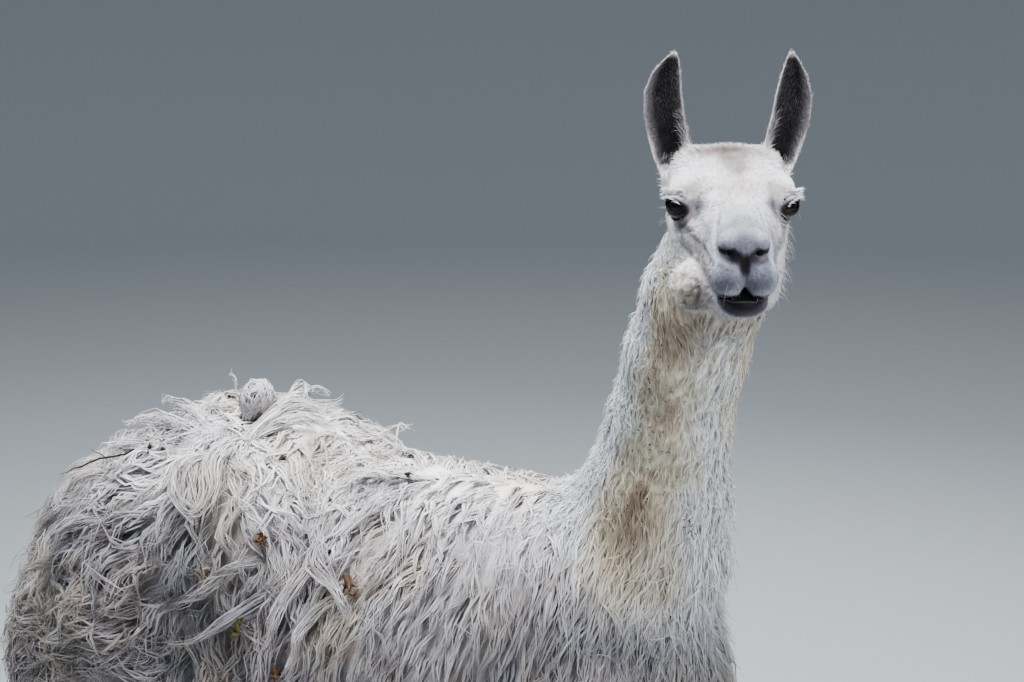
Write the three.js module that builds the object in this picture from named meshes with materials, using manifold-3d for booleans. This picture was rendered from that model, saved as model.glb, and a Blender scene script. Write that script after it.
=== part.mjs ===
// A standing llama, life size, in millimetres, +Z up, its head end towards -Y.
// The body is one implicit form built from ellipsoids and tapered rods that run into each other;
// it is meshed region by region out to the tips of the coat, then parted by thin cuts.
import * as THREE from "three";
import Module from "manifold-3d";

const wasm = await Module();
wasm.setup();

// ------------------------------------------------------------ driving sizes
const GAP = 0.4; // clear gap between neighbouring solids
const SIDE = 108; // half the distance between the left and right legs at the shoulder
const EYES = [-191, -258, 1552]; // midpoint between the eyeballs
const HEAD_YAW = -64; // degrees the head is turned to its right
const HEAD_PITCH = 3; // degrees the muzzle is lifted
const EYE_SPREAD = 55; // eyeball centre out from the midline
const EYE_FORWARD = 3;
const EYE_DROP = 1;
const EYE_RADIUS = 18;
const NECK_TURN = 0.8; // share of the head's turn taken up along the neck
const COAT_TRUNK = 56; // depth of the wool on the sides
const COAT_RUMP = 46; // matted wool added over the rump
const COAT_NECK = 12;
const COAT_CHEST = 14;
const COAT_HEAD = 6.5;
const COAT_MUZZLE = 2;
const COAT_SHANK = 5;
const COAT_THIGH = 43;
const COAT_TAIL = 38;
const COAT_FOOT = 4;
const GRID_TRUNK = [53, 57, 52];
const GRID_NECK = [32, 33, 40];
const GRID_HEAD = [15, 11.7, 12.3];
const GRID_FORELEG = [22, 23, 52];
const GRID_HINDLEG = [27, 29, 50];
const GRID_FOOT = [19.5, 20, 22];
const GRID_TAIL = [31, 32, 40];
const FORE_CUT = 596; // height at which the forelegs part from the trunk
const HIND_CUT = 636;
const FORE_BLOCK = [-300, 190]; // reach of the leg parts along the body
const HIND_BLOCK = [520, 1100];
const FOOT_CUT = 152; // height at which the feet part from the shanks

// ------------------------------------------------------------ small vector kit
const sub = (a, b) => [a[0] - b[0], a[1] - b[1], a[2] - b[2]];
const dot = (a, b) => a[0] * b[0] + a[1] * b[1] + a[2] * b[2];
const cross = (a, b) => [a[1] * b[2] - a[2] * b[1], a[2] * b[0] - a[0] * b[2], a[0] * b[1] - a[1] * b[0]];
const unit = (a) => { const l = Math.hypot(...a); return [a[0] / l, a[1] / l, a[2] / l]; };
const rad = (d) => (d * Math.PI) / 180;
const clamp = (x, a, b) => Math.min(Math.max(x, a), b);
const ramp = (x, a, b) => { const t = clamp((x - a) / (b - a), 0, 1); return t * t * (3 - 2 * t); };

// ------------------------------------------------------------ implicit forms
const smax = (a, b, k) => -smin(-a, -b, k);
const smin = (a, b, k) => { const h = Math.max(k - Math.abs(a - b), 0) / k; return Math.min(a, b) - h * h * k * 0.25; };
function ell(p, c, r) {
  const x = p[0] - c[0], y = p[1] - c[1], z = p[2] - c[2];
  const k0 = Math.hypot(x / r[0], y / r[1], z / r[2]);
  const k1 = Math.hypot(x / (r[0] * r[0]), y / (r[1] * r[1]), z / (r[2] * r[2]));
  return (k0 * (k0 - 1)) / Math.max(k1, 1e-9);
}
function rod(p, a, b, ra, rb) {
  const ba = sub(b, a), pa = sub(p, a);
  const t = clamp(dot(pa, ba) / dot(ba, ba), 0, 1);
  return Math.hypot(pa[0] - t * ba[0], pa[1] - t * ba[1], pa[2] - t * ba[2]) - (ra + (rb - ra) * t);
}
function chain(p, pts, rs, k) {
  let d = rod(p, pts[0], pts[1], rs[0], rs[1]);
  for (let i = 1; i < pts.length - 1; i++) d = smin(d, rod(p, pts[i], pts[i + 1], rs[i], rs[i + 1]), k);
  return d;
}
const mirrored = (p) => [Math.sqrt(p[0] * p[0] + 9), p[1], p[2]];

// head axes: f along the face, s to its left, u up through the crown
const HF = (() => {
  const y = rad(HEAD_YAW), t = rad(HEAD_PITCH);
  const f = [Math.sin(y) * Math.cos(t), -Math.cos(y) * Math.cos(t), Math.sin(t)];
  const s = unit(cross([0, 0, 1], f));
  return { f, s, u: cross(f, s) };
})();
const toHead = (p) => { // the muzzle bends a few millimetres to the animal's right
  const q = sub(p, EYES), f = dot(q, HF.f), s = dot(q, HF.s), u = dot(q, HF.u);
  return [f, s + ramp(f, 30, 140) * (2 + 2.5 * ramp(u, -95, -45)), u];
};
const fromHead = (q) => [0, 1, 2].map((i) => EYES[i] + q[0] * HF.f[i] + q[1] * HF.s[i] + q[2] * HF.u[i]);

function head(p) {
  const q = toHead(p), m = [q[0], Math.sqrt(q[1] * q[1] + 9), q[2]];
  let d = ell(q, [-50, 0, 10], [58, 58, 52]); // cranium
  d = smin(d, ell(q, [-15, 0, 8], [50, 57, 45]), 24); // forehead
  d = smin(d, ell(m, [-8, 53, 21], [26, 17, 12]), 14); // brow
  d = smin(d, rod(m, [-44, 49, -16], [40, 31, -34], 18, 13), 18); // cheekbone
  d = smin(d, ell(m, [-26, 34, -52], [50, 29, 46]), 26); // jaw muscle
  d = smin(d, rod(q, [0, 0, 18], [130, 0, -34], 26, 17), 24); // bridge of the nose
  d = smin(d, rod(q, [10, 0, -14], [116, 0, -44], 43, 30), 26); // snout
  d = smin(d, chain(m, [[-45, 32, -72], [50, 22, -90], [118, 9, -96]], [22, 19, 14], 16), 24); // lower jaw
  d = smin(d, ell(q, [56, 0, -62], [88, 36, 38]), 26);
  d = smin(d, ell(m, [139, 17.5, -66], [26, 18.5, 22]), 10); // lobes of the split upper lip
  d = smin(d, ell(q, [140, 0, -38], [23, 20, 19]), 10); // nose
  d = smin(d, ell(m, [146, 16, -30], [16.5, 10.5, 11.5]), 7); // folds over the nostrils
  d = smin(d, ell(q, [130, 0, -97], [24, 25, 14]), 9); // lower lip
  d = smin(d, ell(q, [58, -46, -86], [38, 25, 27]), 14); // right cheek, full of cud
  d = smin(d, ell(m, [-62, 42, 30], [30, 22, 26]), 24); // ear roots
  d = smax(d, -ell(m, [30, 67, 0], [22, 17, 12]), 8); // hollow in front of the eye
  const lid = Math.hypot(m[0] - EYE_FORWARD, m[1] - EYE_SPREAD, m[2] + EYE_DROP);
  return d - (COAT_HEAD - (COAT_HEAD - COAT_MUZZLE) * Math.max(ramp(q[0], 60, 120), 1 - ramp(lid, 20, 40)));
}

// neck: a spine-side and a throat-side chain, turning with the head
const NECK = [[0, -2, 950], [0, -78, 1058], [-10, -103, 1150], [-24, -124, 1240], [-40, -148, 1330], [-59, -178, 1415], [-79, -207, 1480]];
const NECK_HALF = [40, 34, 24, 20, 18, 17, 12];
const NECK_SPINE_R = [80, 64, 54, 51, 49, 48, 47];
const NECK_THROAT_R = [88, 68, 55, 51, 49, 50, 47];
const neckSide = (sign) => NECK.map((c, i) => {
  const a = rad((HEAD_YAW * NECK_TURN * i) / (NECK.length - 1)), h = sign * NECK_HALF[i];
  return [c[0] + Math.sin(a) * h, c[1] - Math.cos(a) * h, c[2]];
});
const NECK_SPINE = neckSide(-1), NECK_THROAT = neckSide(1);
function neck(p) {
  const d = smin(chain(p, NECK_SPINE, NECK_SPINE_R, 30), chain(p, NECK_THROAT, NECK_THROAT_R, 30), 40);
  return d - (COAT_NECK + COAT_CHEST * (1 - ramp(p[2], 1080, 1260)));
}

const SPINE = [[0, 10, 972], [0, 300, 1002], [0, 600, 1020], [0, 755, 958]];
function trunk(p) {
  let d = ell(p, [0, 70, 850], [146, 230, 215]); // ribs at the girth
  d = smin(d, ell(p, [0, 330, 860], [178, 340, 205]), 90); // barrel
  d = smin(d, ell(p, [0, 620, 890], [154, 240, 165]), 90); // loin
  d = smin(d, ell(p, [0, 745, 870], [136, 140, 145]), 90); // rump
  d = smin(d, ell(p, [0, -42, 845], [95, 90, 130]), 70); // breast
  d = smin(d, chain(p, SPINE, [50, 52, 52, 56], 40), 60);
  const top = ramp(p[2], 850, 1060);
  const hump = ramp(p[1], 330, 450) * (1 - ramp(p[1], 620, 860));
  const under = 1 - ramp(p[2], 640, 760);
  return d - (COAT_TRUNK + top * (COAT_RUMP * hump - 2) - 12 * (1 - ramp(p[1], -150, 30)) - 12 * under + 12 * ramp(p[1], 750, 900));
}

function legs(p) {
  const m = mirrored(p);
  let d = chain(m, [[SIDE - 4, -48, 830], [SIDE + 6, 10, 655], [SIDE, -18, 362], [100, -14, 120]], [64, 50, 33, 24], 30);
  d = smin(d, ell(m, [SIDE + 2, 25, 690], [50, 85, 110]), 40); // elbow
  d = smin(d, ell(m, [SIDE + 2, -6, 540], [40, 52, 110]), 40); // forearm
  d = smin(d, ell(m, [SIDE - 1, -24, 362], [34, 34, 40]), 14); // knee
  d = smin(d, ell(m, [100, -14, 118], [29, 31, 34]), 14); // fetlock
  let g = chain(m, [[95, 700, 900], [118, 600, 690], [108, 790, 410], [102, 765, 125]], [110, 72, 34, 25], 40);
  g = smin(g, ell(m, [106, 778, 765], [77, 130, 165]), 50); // thigh
  g = smin(g, ell(m, [112, 705, 605], [44, 62, 115]), 40); // gaskin
  g = smin(g, rod(m, [106, 770, 560], [106, 828, 425], 14, 17), 16); // tendon of the hock
  g = smin(g, ell(m, [106, 806, 405], [30, 36, 44]), 14); // hock
  g = smin(g, ell(m, [102, 766, 122], [30, 32, 34]), 14); // fetlock
  return smin(d - (COAT_SHANK + COAT_THIGH * ramp(p[2], 500, 660)), g - (COAT_SHANK + COAT_THIGH * ramp(p[2], 500, 700)), 30);
}

// one two-toed foot, cx out from the midline, cy along the body
const FORE_FOOT = [100, -14, 120], HIND_FOOT = [102, 765, 125];
function foot(p, [cx, cy, top]) {
  const q = [Math.abs(p[0]), p[1], p[2]];
  let d = 1e9;
  for (const sx of [-1, 1]) {
    let e = rod(q, [cx + sx * 11, cy, top - 6], [cx + sx * 18, cy - 30, 34], 22, 21);
    e = smin(e, ell(q, [cx + sx * 19, cy - 38, 20], [18, 40, 22]), 10);
    d = smin(d, e, 5);
  }
  return d - COAT_FOOT;
}

const TAIL = [[0, 850, 955], [0, 910, 935], [0, 950, 885], [0, 958, 820], [0, 950, 745]];
const tail = (p) => chain(p, TAIL, [30, 24, 20, 17, 13], 20) - COAT_TAIL;

function body(p) {
  let d = smin(neck(p), trunk(p), 60);
  d = smin(d, legs(p), 45);
  if (p[2] < 260) d = smin(d, Math.min(foot(p, FORE_FOOT), foot(p, HIND_FOOT)), 16);
  if (p[2] > 1250) d = smin(d, head(p), 26);
  return d;
}

// ------------------------------------------------------------ meshing
const boxDistance = (p, lo, hi) => Math.max(lo[0] - p[0], p[0] - hi[0], lo[1] - p[1], p[1] - hi[1], lo[2] - p[2], p[2] - hi[2]);

function slope(fn, p, e = 0.5) {
  const g = [0, 1, 2].map((i) => { const a = [...p], b = [...p]; a[i] += e; b[i] -= e; return (fn(a) - fn(b)) / (2 * e); });
  const n = Math.max(dot(g, g), 0.05);
  return { d: fn(p), g: g.map((x) => x / n) };
}

// surface nets over a box, pulled on to the surface; closed where the box ends
function mesh(shape, lo, hi, step, pull = 3) {
  const inner = [lo, hi];
  const fn = (p) => Math.max(shape(p), boxDistance(p, inner[0], inner[1]));
  const org = lo.map((x, i) => x - 1.37 * step[i]);
  const n = [0, 1, 2].map((i) => Math.ceil((hi[i] + 1.37 * step[i] - org[i]) / step[i]) + 1);
  const at = (i, j, k) => (i * n[1] + j) * n[2] + k;
  const val = new Float64Array(n[0] * n[1] * n[2]);
  for (let i = 0; i < n[0]; i++) for (let j = 0; j < n[1]; j++) for (let k = 0; k < n[2]; k++)
    val[at(i, j, k)] = fn([org[0] + i * step[0], org[1] + j * step[1], org[2] + k * step[2]]);
  const id = new Int32Array(val.length).fill(-1), pos = [];
  const edges = [];
  for (let a = 0; a < 8; a++) for (let b = a + 1; b < 8; b++) { const x = a ^ b; if (x === 1 || x === 2 || x === 4) edges.push([a, b]); }
  for (let i = 0; i < n[0] - 1; i++) for (let j = 0; j < n[1] - 1; j++) for (let k = 0; k < n[2] - 1; k++) {
    const v = []; let inside = 0;
    for (let c = 0; c < 8; c++) { v.push(val[at(i + (c & 1), j + ((c >> 1) & 1), k + (c >> 2))]); if (v[c] < 0) inside++; }
    if (inside === 0 || inside === 8) continue;
    const s = [0, 0, 0]; let m = 0;
    for (const [a, b] of edges) {
      if ((v[a] < 0) === (v[b] < 0)) continue;
      const t = v[a] / (v[a] - v[b]);
      for (let x = 0; x < 3; x++) { const pa = (a >> x) & 1, pb = (b >> x) & 1; s[x] += pa + (pb - pa) * t; }
      m++;
    }
    let p = [i, j, k].map((g, x) => org[x] + (g + s[x] / m) * step[x]);
    for (let r = 0; r < pull; r++) {
      if (boxDistance(p, inner[0], inner[1]) > -Math.min(...step) * 0.3) break;
      const w = slope(shape, p); p = p.map((x, y) => x - clamp(0.9 * w.d * w.g[y], -step[y] * 0.5, step[y] * 0.5));
    }
    id[at(i, j, k)] = pos.length / 3; pos.push(...p);
  }
  const idx = [];
  const P = (a) => new THREE.Vector3(pos[3 * a], pos[3 * a + 1], pos[3 * a + 2]);
  for (let d = 0; d < 3; d++) {
    const u = (d + 1) % 3, w = (d + 2) % 3, du = [0, 0, 0], dw = [0, 0, 0], dd = [0, 0, 0];
    du[u] = 1; dw[w] = 1; dd[d] = 1;
    for (let i = 1 - dd[0]; i < n[0] - 1; i++) for (let j = 1 - dd[1]; j < n[1] - 1; j++) for (let k = 1 - dd[2]; k < n[2] - 1; k++) {
      const s0 = val[at(i, j, k)] < 0, s1 = val[at(i + dd[0], j + dd[1], k + dd[2])] < 0;
      if (s0 === s1) continue;
      const c = (a, b) => id[at(i - du[0] * a - dw[0] * b, j - du[1] * a - dw[1] * b, k - du[2] * a - dw[2] * b)];
      let q = [c(1, 1), c(0, 1), c(0, 0), c(1, 0)];
      if (!s0) q.reverse();
      if (P(q[0]).distanceTo(P(q[2])) <= P(q[1]).distanceTo(P(q[3]))) idx.push(q[0], q[1], q[2], q[0], q[2], q[3]);
      else idx.push(q[0], q[1], q[3], q[1], q[2], q[3]);
    }
  }
  return geometry(pos, idx);
}

function geometry(pos, idx) {
  const g = new THREE.BufferGeometry();
  g.setAttribute("position", new THREE.Float32BufferAttribute(pos, 3));
  g.setIndex(idx);
  return g;
}

// the same surface with every vertex moved out by d along the normal
function swollen(geo, d) {
  const g = geo.clone(); g.computeVertexNormals();
  const p = g.attributes.position.array, n = g.attributes.normal.array;
  return geometry(Array.from(p, (x, i) => x + n[i] * d), Array.from(g.index.array));
}

// ------------------------------------------------------------ joining and cutting
const solid = (geo) => new wasm.Manifold(new wasm.Mesh({ numProp: 3, vertProperties: new Float32Array(geo.attributes.position.array), triVerts: new Uint32Array(geo.index.array) }));
// a solid as a geometry, with the crumbs of edges shorter than the weld collapsed
const WELD = 0.06;
function toGeometry(man) {
  const m = man.getMesh(), at = (v) => [m.vertProperties[3 * v], m.vertProperties[3 * v + 1], m.vertProperties[3 * v + 2]];
  let tri = []; const fan = new Map(), pos = [], idx = [], own = new Map();
  for (let i = 0; i < m.triVerts.length; i += 3) tri.push(Array.from(m.triVerts.slice(i, i + 3)));
  for (const t of tri) for (const v of t) { if (!fan.has(v)) fan.set(v, new Set()); fan.get(v).add(t); }
  const around = (v) => { const n = new Set(); for (const t of fan.get(v)) for (const w of t) if (w !== v) n.add(w); return n; };
  for (let again = true; again; ) {
    again = false;
    for (const t of tri) for (let k = 0; k < 3 && !t.dead; k++) {
      const x = t[k], y = t[(k + 1) % 3];
      if (Math.hypot(...sub(at(x), at(y))) >= WELD) continue;
      const ny = around(y);
      if ([...around(x)].filter((v) => ny.has(v)).length !== 2) continue; // it would pinch the surface
      for (const f of [...fan.get(y)]) {
        if (f.includes(x)) { f.dead = true; for (const v of f) fan.get(v).delete(f); }
        else { f[f.indexOf(y)] = x; fan.get(x).add(f); }
      }
      fan.delete(y); again = true;
    }
    tri = tri.filter((t) => !t.dead);
  }
  // where two sheets of the surface touch at a point, each draws back a hair
  const spot = new Map(), apart = new Map();
  for (const v of fan.keys()) if (fan.get(v).size) { const key = at(v).map((x) => Math.round(x * 200)).join(); spot.set(key, [...(spot.get(key) ?? []), v]); }
  for (const same of spot.values()) if (same.length > 1) for (const v of same) {
    const n = [...around(v)].map(at), c = [0, 1, 2].map((i) => n.reduce((t, q) => t + q[i], 0) / n.length);
    const w = unit(sub(c, at(v)));
    apart.set(v, at(v).map((x, i) => x + w[i] * 0.1));
  }
  for (const t of tri) for (const v of t) {
    if (!own.has(v)) { own.set(v, pos.length / 3); pos.push(...(apart.get(v) ?? at(v))); }
    idx.push(own.get(v));
  }
  return geometry(pos, idx);
}
const biggest = (man) => man.decompose().sort((a, b) => b.volume() - a.volume())[0];
function boxSolid(lo, hi) {
  const pos = [], idx = [];
  for (let c = 0; c < 8; c++) pos.push((c & 1 ? hi : lo)[0], (c & 2 ? hi : lo)[1], (c & 4 ? hi : lo)[2]);
  for (const [a, b, c, d] of [[0, 2, 3, 1], [4, 5, 7, 6], [0, 1, 5, 4], [2, 6, 7, 3], [0, 4, 6, 2], [1, 3, 7, 5]]) idx.push(a, b, c, a, c, d);
  return solid(geometry(pos, idx));
}
// a big slab on the far side of the plane through o with normal n, starting off millimetres along n
function halfSpace(o, n, off, reach = 1200) {
  const g = new THREE.BoxGeometry(2 * reach, 2 * reach, 2 * reach);
  const q = new THREE.Quaternion().setFromUnitVectors(new THREE.Vector3(0, 0, 1), new THREE.Vector3(...n));
  const c = new THREE.Vector3(...o).addScaledVector(new THREE.Vector3(...n), off + reach);
  g.applyMatrix4(new THREE.Matrix4().compose(c, q, new THREE.Vector3(1, 1, 1)));
  const seen = new Map(), pos = [], map = [], p = g.attributes.position;
  for (let i = 0; i < p.count; i++) {
    const key = [p.getX(i), p.getY(i), p.getZ(i)].map((x) => Math.round(x * 100)).join();
    if (!seen.has(key)) { seen.set(key, pos.length / 3); pos.push(p.getX(i), p.getY(i), p.getZ(i)); }
    map.push(seen.get(key));
  }
  return solid(geometry(pos, Array.from(g.index.array, (i) => map[i])));
}

// ball(c, r): an ellipsoid as rings of latitude about the axis w
function ball(c, r, rows, cols, axes) {
  const pos = [], idx = [];
  const put = (x, y, z) => { for (let i = 0; i < 3; i++) pos.push(c[i] + axes[0][i] * x * r[0] + axes[1][i] * y * r[1] + axes[2][i] * z * r[2]); };
  put(0, 0, -1);
  for (let i = 1; i < rows; i++) for (let j = 0; j < cols; j++) {
    const a = -Math.PI / 2 + (Math.PI * i) / rows, b = (2 * Math.PI * (j + 0.5 * (i % 2))) / cols;
    put(Math.cos(a) * Math.cos(b), Math.cos(a) * Math.sin(b), Math.sin(a));
  }
  put(0, 0, 1);
  const top = pos.length / 3 - 1, at = (i, j) => 1 + (i - 1) * cols + ((j + cols) % cols);
  for (let j = 0; j < cols; j++) { idx.push(0, at(1, j + 1), at(1, j)); idx.push(top, at(rows - 1, j), at(rows - 1, j + 1)); }
  for (let i = 1; i < rows - 1; i++) for (let j = 0; j < cols; j++) {
    if (i % 2) idx.push(at(i, j), at(i, j + 1), at(i + 1, j + 1), at(i, j), at(i + 1, j + 1), at(i + 1, j));
    else idx.push(at(i, j), at(i, j + 1), at(i + 1, j), at(i, j + 1), at(i + 1, j + 1), at(i + 1, j));
  }
  return geometry(pos, idx);
}
const WORLD = [[1, 0, 0], [0, 1, 0], [0, 0, 1]];

// ------------------------------------------------------------ ears
// stations up the ear in head axes: [f, s, u, half width, depth of the cup, thickness]
const EAR_RIGHT = [
  [-62, -55, 28, 21.5, 14, 9], [-66, -61, 47, 24, 14, 8], [-69, -67, 71, 25, 13, 7], [-71, -72.5, 98, 25, 12, 6.5],
  [-73, -74.5, 124, 23.5, 10, 6], [-74, -71, 147, 18.5, 7, 5.5], [-74, -65.5, 163, 10.5, 4, 5], [-73, -62, 172, 4, 1.5, 4],
];
const EAR_LEFT = [
  [-62, 53, 28, 20.5, 14, 9], [-66, 59, 47, 23.5, 14, 8], [-69, 67, 71, 25, 13, 7], [-71, 74, 98, 25, 12, 6.5],
  [-73, 77, 122, 23.5, 10, 6], [-74, 77.5, 144, 18, 7, 5.5], [-74, 76, 162, 10, 4, 5], [-73, 74.5, 172, 4, 1.5, 4],
];
const EAR_OUTWARD = 12; // degrees the opening turns away from straight ahead
function ear(rows, sign) {
  const across = 5, pos = [], idx = [];
  const a = rad(EAR_OUTWARD) * sign, ahead = [Math.cos(a), Math.sin(a), 0];
  rows.forEach((r, i) => {
    const nx = rows[Math.min(i + 1, rows.length - 1)], pv = rows[Math.max(i - 1, 0)];
    const up = unit([nx[0] - pv[0], nx[1] - pv[1], nx[2] - pv[2]]);
    const side = unit(cross(up, ahead)), face = cross(side, up);
    const ring = [];
    for (let v = 0; v <= across; v++) { // back of the ear, then its inside
      const t = -1 + (2 * v) / across;
      ring.push([t * r[3], -r[4] * (1 - t * t) - r[5] * 0.5 * Math.sqrt(Math.max(1 - t * t, 0)) + r[4] * 0.5]);
    }
    for (let v = across - 1; v >= 1; v--) {
      const t = -1 + (2 * v) / across;
      ring.push([t * r[3] * 0.94, -r[4] * (1 - t * t) + r[5] * 0.5 * Math.sqrt(Math.max(1 - t * t, 0)) + r[4] * 0.5]);
    }
    for (const [x, y] of ring) pos.push(...fromHead([0, 1, 2].map((k) => r[k] + side[k] * x + face[k] * y)));
  });
  const n = 2 * across, m = rows.length;
  pos.push(...fromHead(rows[0].slice(0, 3)), ...fromHead([rows[m - 1][0], rows[m - 1][1], rows[m - 1][2] + 3]));
  const lo = n * m, hi = lo + 1;
  for (let i = 0; i < m - 1; i++) for (let j = 0; j < n; j++) {
    const a0 = i * n + j, a1 = i * n + ((j + 1) % n), b0 = a0 + n, b1 = a1 + n;
    idx.push(a0, a1, b1, a0, b1, b0);
  }
  for (let j = 0; j < n; j++) { idx.push(lo, (j + 1) % n, j); idx.push(hi, (m - 1) * n + j, (m - 1) * n + ((j + 1) % n)); }
  let s = solid(geometry(pos, idx));
  if (s.volume() < 0) { for (let i = 0; i < idx.length; i += 3) [idx[i + 1], idx[i + 2]] = [idx[i + 2], idx[i + 1]]; s = solid(geometry(pos, idx)); }
  return s;
}

// ------------------------------------------------------------ the parts
const parts = new Map();

// cut between head and neck, and between neck and trunk
const headCutAt = fromHead([-67, 0, -42]);
const headCutN = unit([0, 1, 2].map((i) => 0.887 * HF.f[i] + 0.461 * HF.u[i]));
const neckCutAt = [0, -100, 1007.5];
const neckCutN = unit([0, -0.683, 0.73]);
const back = (n) => n.map((x) => -x);

const headGeo = mesh((q) => body(fromHead(q)), [-150, -99, -170], [185, 99, 105], GRID_HEAD);
{
  const a = headGeo.attributes.position;
  for (let i = 0; i < a.count; i++) a.setXYZ(i, ...fromHead([a.getX(i), a.getY(i), a.getZ(i)]));
}
let headSolid = solid(headGeo).intersect(halfSpace(headCutAt, headCutN, GAP / 2));
const eyeAt = (s) => fromHead([EYE_FORWARD, s * EYE_SPREAD, -EYE_DROP]);
const eyeAxes = (s) => { const w = unit([0, 1, 2].map((i) => HF.s[i] * s * 0.75 + HF.f[i] * 0.66)); const a = unit(cross(HF.u, w)); return [a, cross(w, a), w]; };
for (const [name, s] of [["eye_left", 1], ["eye_right", -1]]) {
  const r = EYE_RADIUS, g = r + GAP + 0.2;
  parts.set(name, solid(ball(eyeAt(s), [r, r, r], 8, 12, eyeAxes(s))));
  headSolid = headSolid.subtract(solid(ball(eyeAt(s), [g, g, g], 8, 12, eyeAxes(s))));
}
parts.set("head", biggest(headSolid));

const headClear = solid(swollen(headGeo, GAP + 0.2));
parts.set("ear_right", biggest(ear(EAR_RIGHT, -1).subtract(headClear)));
parts.set("ear_left", biggest(ear(EAR_LEFT, 1).subtract(headClear)));

parts.set("neck", biggest(solid(mesh(body, [-250, -330, 780], [240, 160, 1600], GRID_NECK))
  .intersect(halfSpace(headCutAt, back(headCutN), GAP / 2)).intersect(halfSpace(neckCutAt, neckCutN, GAP / 2))));

const trunkShape = (p) => Math.max(body(p), dot(sub(p, neckCutAt), neckCutN) - 70);
const trunkGeo = mesh(trunkShape, [-400, -400, 545], [400, 1100, 1400], GRID_TRUNK);
let trunkSolid = solid(trunkGeo).intersect(halfSpace(neckCutAt, back(neckCutN), GAP / 2));
trunkSolid = trunkSolid.subtract(boxSolid([-420, -420, 300], [420, FORE_BLOCK[1] + GAP, FORE_CUT + GAP])).subtract(boxSolid([-420, HIND_BLOCK[0] - GAP, 300], [420, 1150, HIND_CUT + GAP]));
trunkSolid = biggest(trunkSolid);
parts.set("trunk", trunkSolid);

parts.set("tail", biggest(solid(mesh(tail, [-120, 780, 640], [120, 1080, 1120], GRID_TAIL)).subtract(solid(swollen(trunkGeo, GAP + 0.4)))));

for (const [end, spot, cut, y0, y1] of [["front", FORE_FOOT, FORE_CUT, ...FORE_BLOCK], ["hind", HIND_FOOT, HIND_CUT, ...HIND_BLOCK]])
  for (const [name, s] of [["left", 1], ["right", -1]]) {
    const span = (a, b) => (s > 0 ? [a, b] : [-b, -a]);
    const [x0, x1] = span(-60, 330);
    const [c0, c1] = span(GAP / 2, 400);
    parts.set(`leg_${end}_${name}`, biggest(solid(mesh(body, [x0, y0 - 90, FOOT_CUT - 60], [x1, y1 + 90, cut + 90], end === "hind" ? GRID_HINDLEG : GRID_FORELEG))
      .intersect(boxSolid([c0, y0, FOOT_CUT + GAP / 2], [c1, y1, cut]))));
    const [f0, f1] = span(spot[0] - 75, spot[0] + 75);
    let hoof = solid(mesh(body, [f0, spot[1] - 140, -30], [f1, spot[1] + 95, FOOT_CUT + 35], GRID_FOOT))
      .intersect(boxSolid([f0 - 50, spot[1] - 200, 0], [f1 + 50, spot[1] + 200, FOOT_CUT - GAP / 2]));
    for (const [toe, t] of [["inner", -1], ["outer", 1]]) {
      const c = [s * (spot[0] + t * 19), spot[1] - 76, 15], r = [9.5, 17, 10.5], axes = [WORLD[0], back(WORLD[2]), WORLD[1]];
      parts.set(`nail_${end}_${name}_${toe}`, solid(ball(c, [r[0], r[2], r[1]], 4, 8, axes)));
      const g = r.map((x) => x + GAP + 0.3);
      hoof = hoof.subtract(solid(ball(c, [g[0], g[2], g[1]], 4, 8, axes)));
    }
    parts.set(`foot_${end}_${name}`, biggest(hoof));
  }

// ------------------------------------------------------------ the figure
const llama = new THREE.Group();
llama.name = "llama";
const bounds = new THREE.Box3();
const COLOUR = { eye: 0x15110f, nail: 0x4a4440 };
for (const [name, man] of parts) {
  const g = toGeometry(man);
  g.computeBoundingBox(); bounds.union(g.boundingBox);
  const m = new THREE.Mesh(g, new THREE.MeshStandardMaterial({ color: COLOUR[name.split("_")[0]] ?? 0xd9d2cb, roughness: 0.9 }));
  m.name = name;
  llama.add(m);
}
// stand the figure on z = 0, centred over the origin
const mid = bounds.getCenter(new THREE.Vector3());
llama.position.set(-mid.x, -mid.y, 0);

export default llama;
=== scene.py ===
import math
import time

import bpy
import numpy as np
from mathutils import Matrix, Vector


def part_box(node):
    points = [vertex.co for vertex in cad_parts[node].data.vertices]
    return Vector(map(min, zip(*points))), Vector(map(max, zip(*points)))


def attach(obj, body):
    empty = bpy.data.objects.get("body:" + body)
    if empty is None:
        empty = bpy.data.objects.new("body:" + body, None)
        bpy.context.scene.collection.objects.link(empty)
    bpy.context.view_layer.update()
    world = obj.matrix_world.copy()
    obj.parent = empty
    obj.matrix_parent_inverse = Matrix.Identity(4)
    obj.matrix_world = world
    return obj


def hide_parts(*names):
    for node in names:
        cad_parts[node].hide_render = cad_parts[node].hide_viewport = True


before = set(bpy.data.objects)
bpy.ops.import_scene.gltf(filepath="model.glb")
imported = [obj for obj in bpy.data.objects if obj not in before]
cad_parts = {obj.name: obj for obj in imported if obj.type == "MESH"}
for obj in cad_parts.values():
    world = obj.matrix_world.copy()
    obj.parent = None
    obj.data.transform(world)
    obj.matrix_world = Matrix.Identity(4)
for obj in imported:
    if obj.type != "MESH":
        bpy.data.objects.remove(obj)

T0 = time.time()


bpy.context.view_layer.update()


def say(*words):
    print("[llama]", *words, "%.1fs" % (time.time() - T0), flush=True)


# =====================================================================================
# The animal's form, as one implicit body in millimetres. Origin on the ground under the
# withers, head towards -Y. The same sizes as the solids; the skin lies inside them.
# =====================================================================================
V = lambda *a: np.array(a, float)


def smin(a, b, k):
    h = np.maximum(k - np.abs(a - b), 0.0) / k
    return np.minimum(a, b) - h * h * k * 0.25


def smax(a, b, k):
    return -smin(-a, -b, k)


def ramp(x, a, b):
    t = np.clip((x - a) / (b - a), 0, 1)
    return t * t * (3 - 2 * t)


def ell(p, c, r):
    q = p - np.asarray(c, float)
    r = np.asarray(r, float)
    k0 = np.sqrt(((q / r) ** 2).sum(-1))
    k1 = np.sqrt(((q / (r * r)) ** 2).sum(-1))
    return k0 * (k0 - 1.0) / np.maximum(k1, 1e-9)


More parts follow.
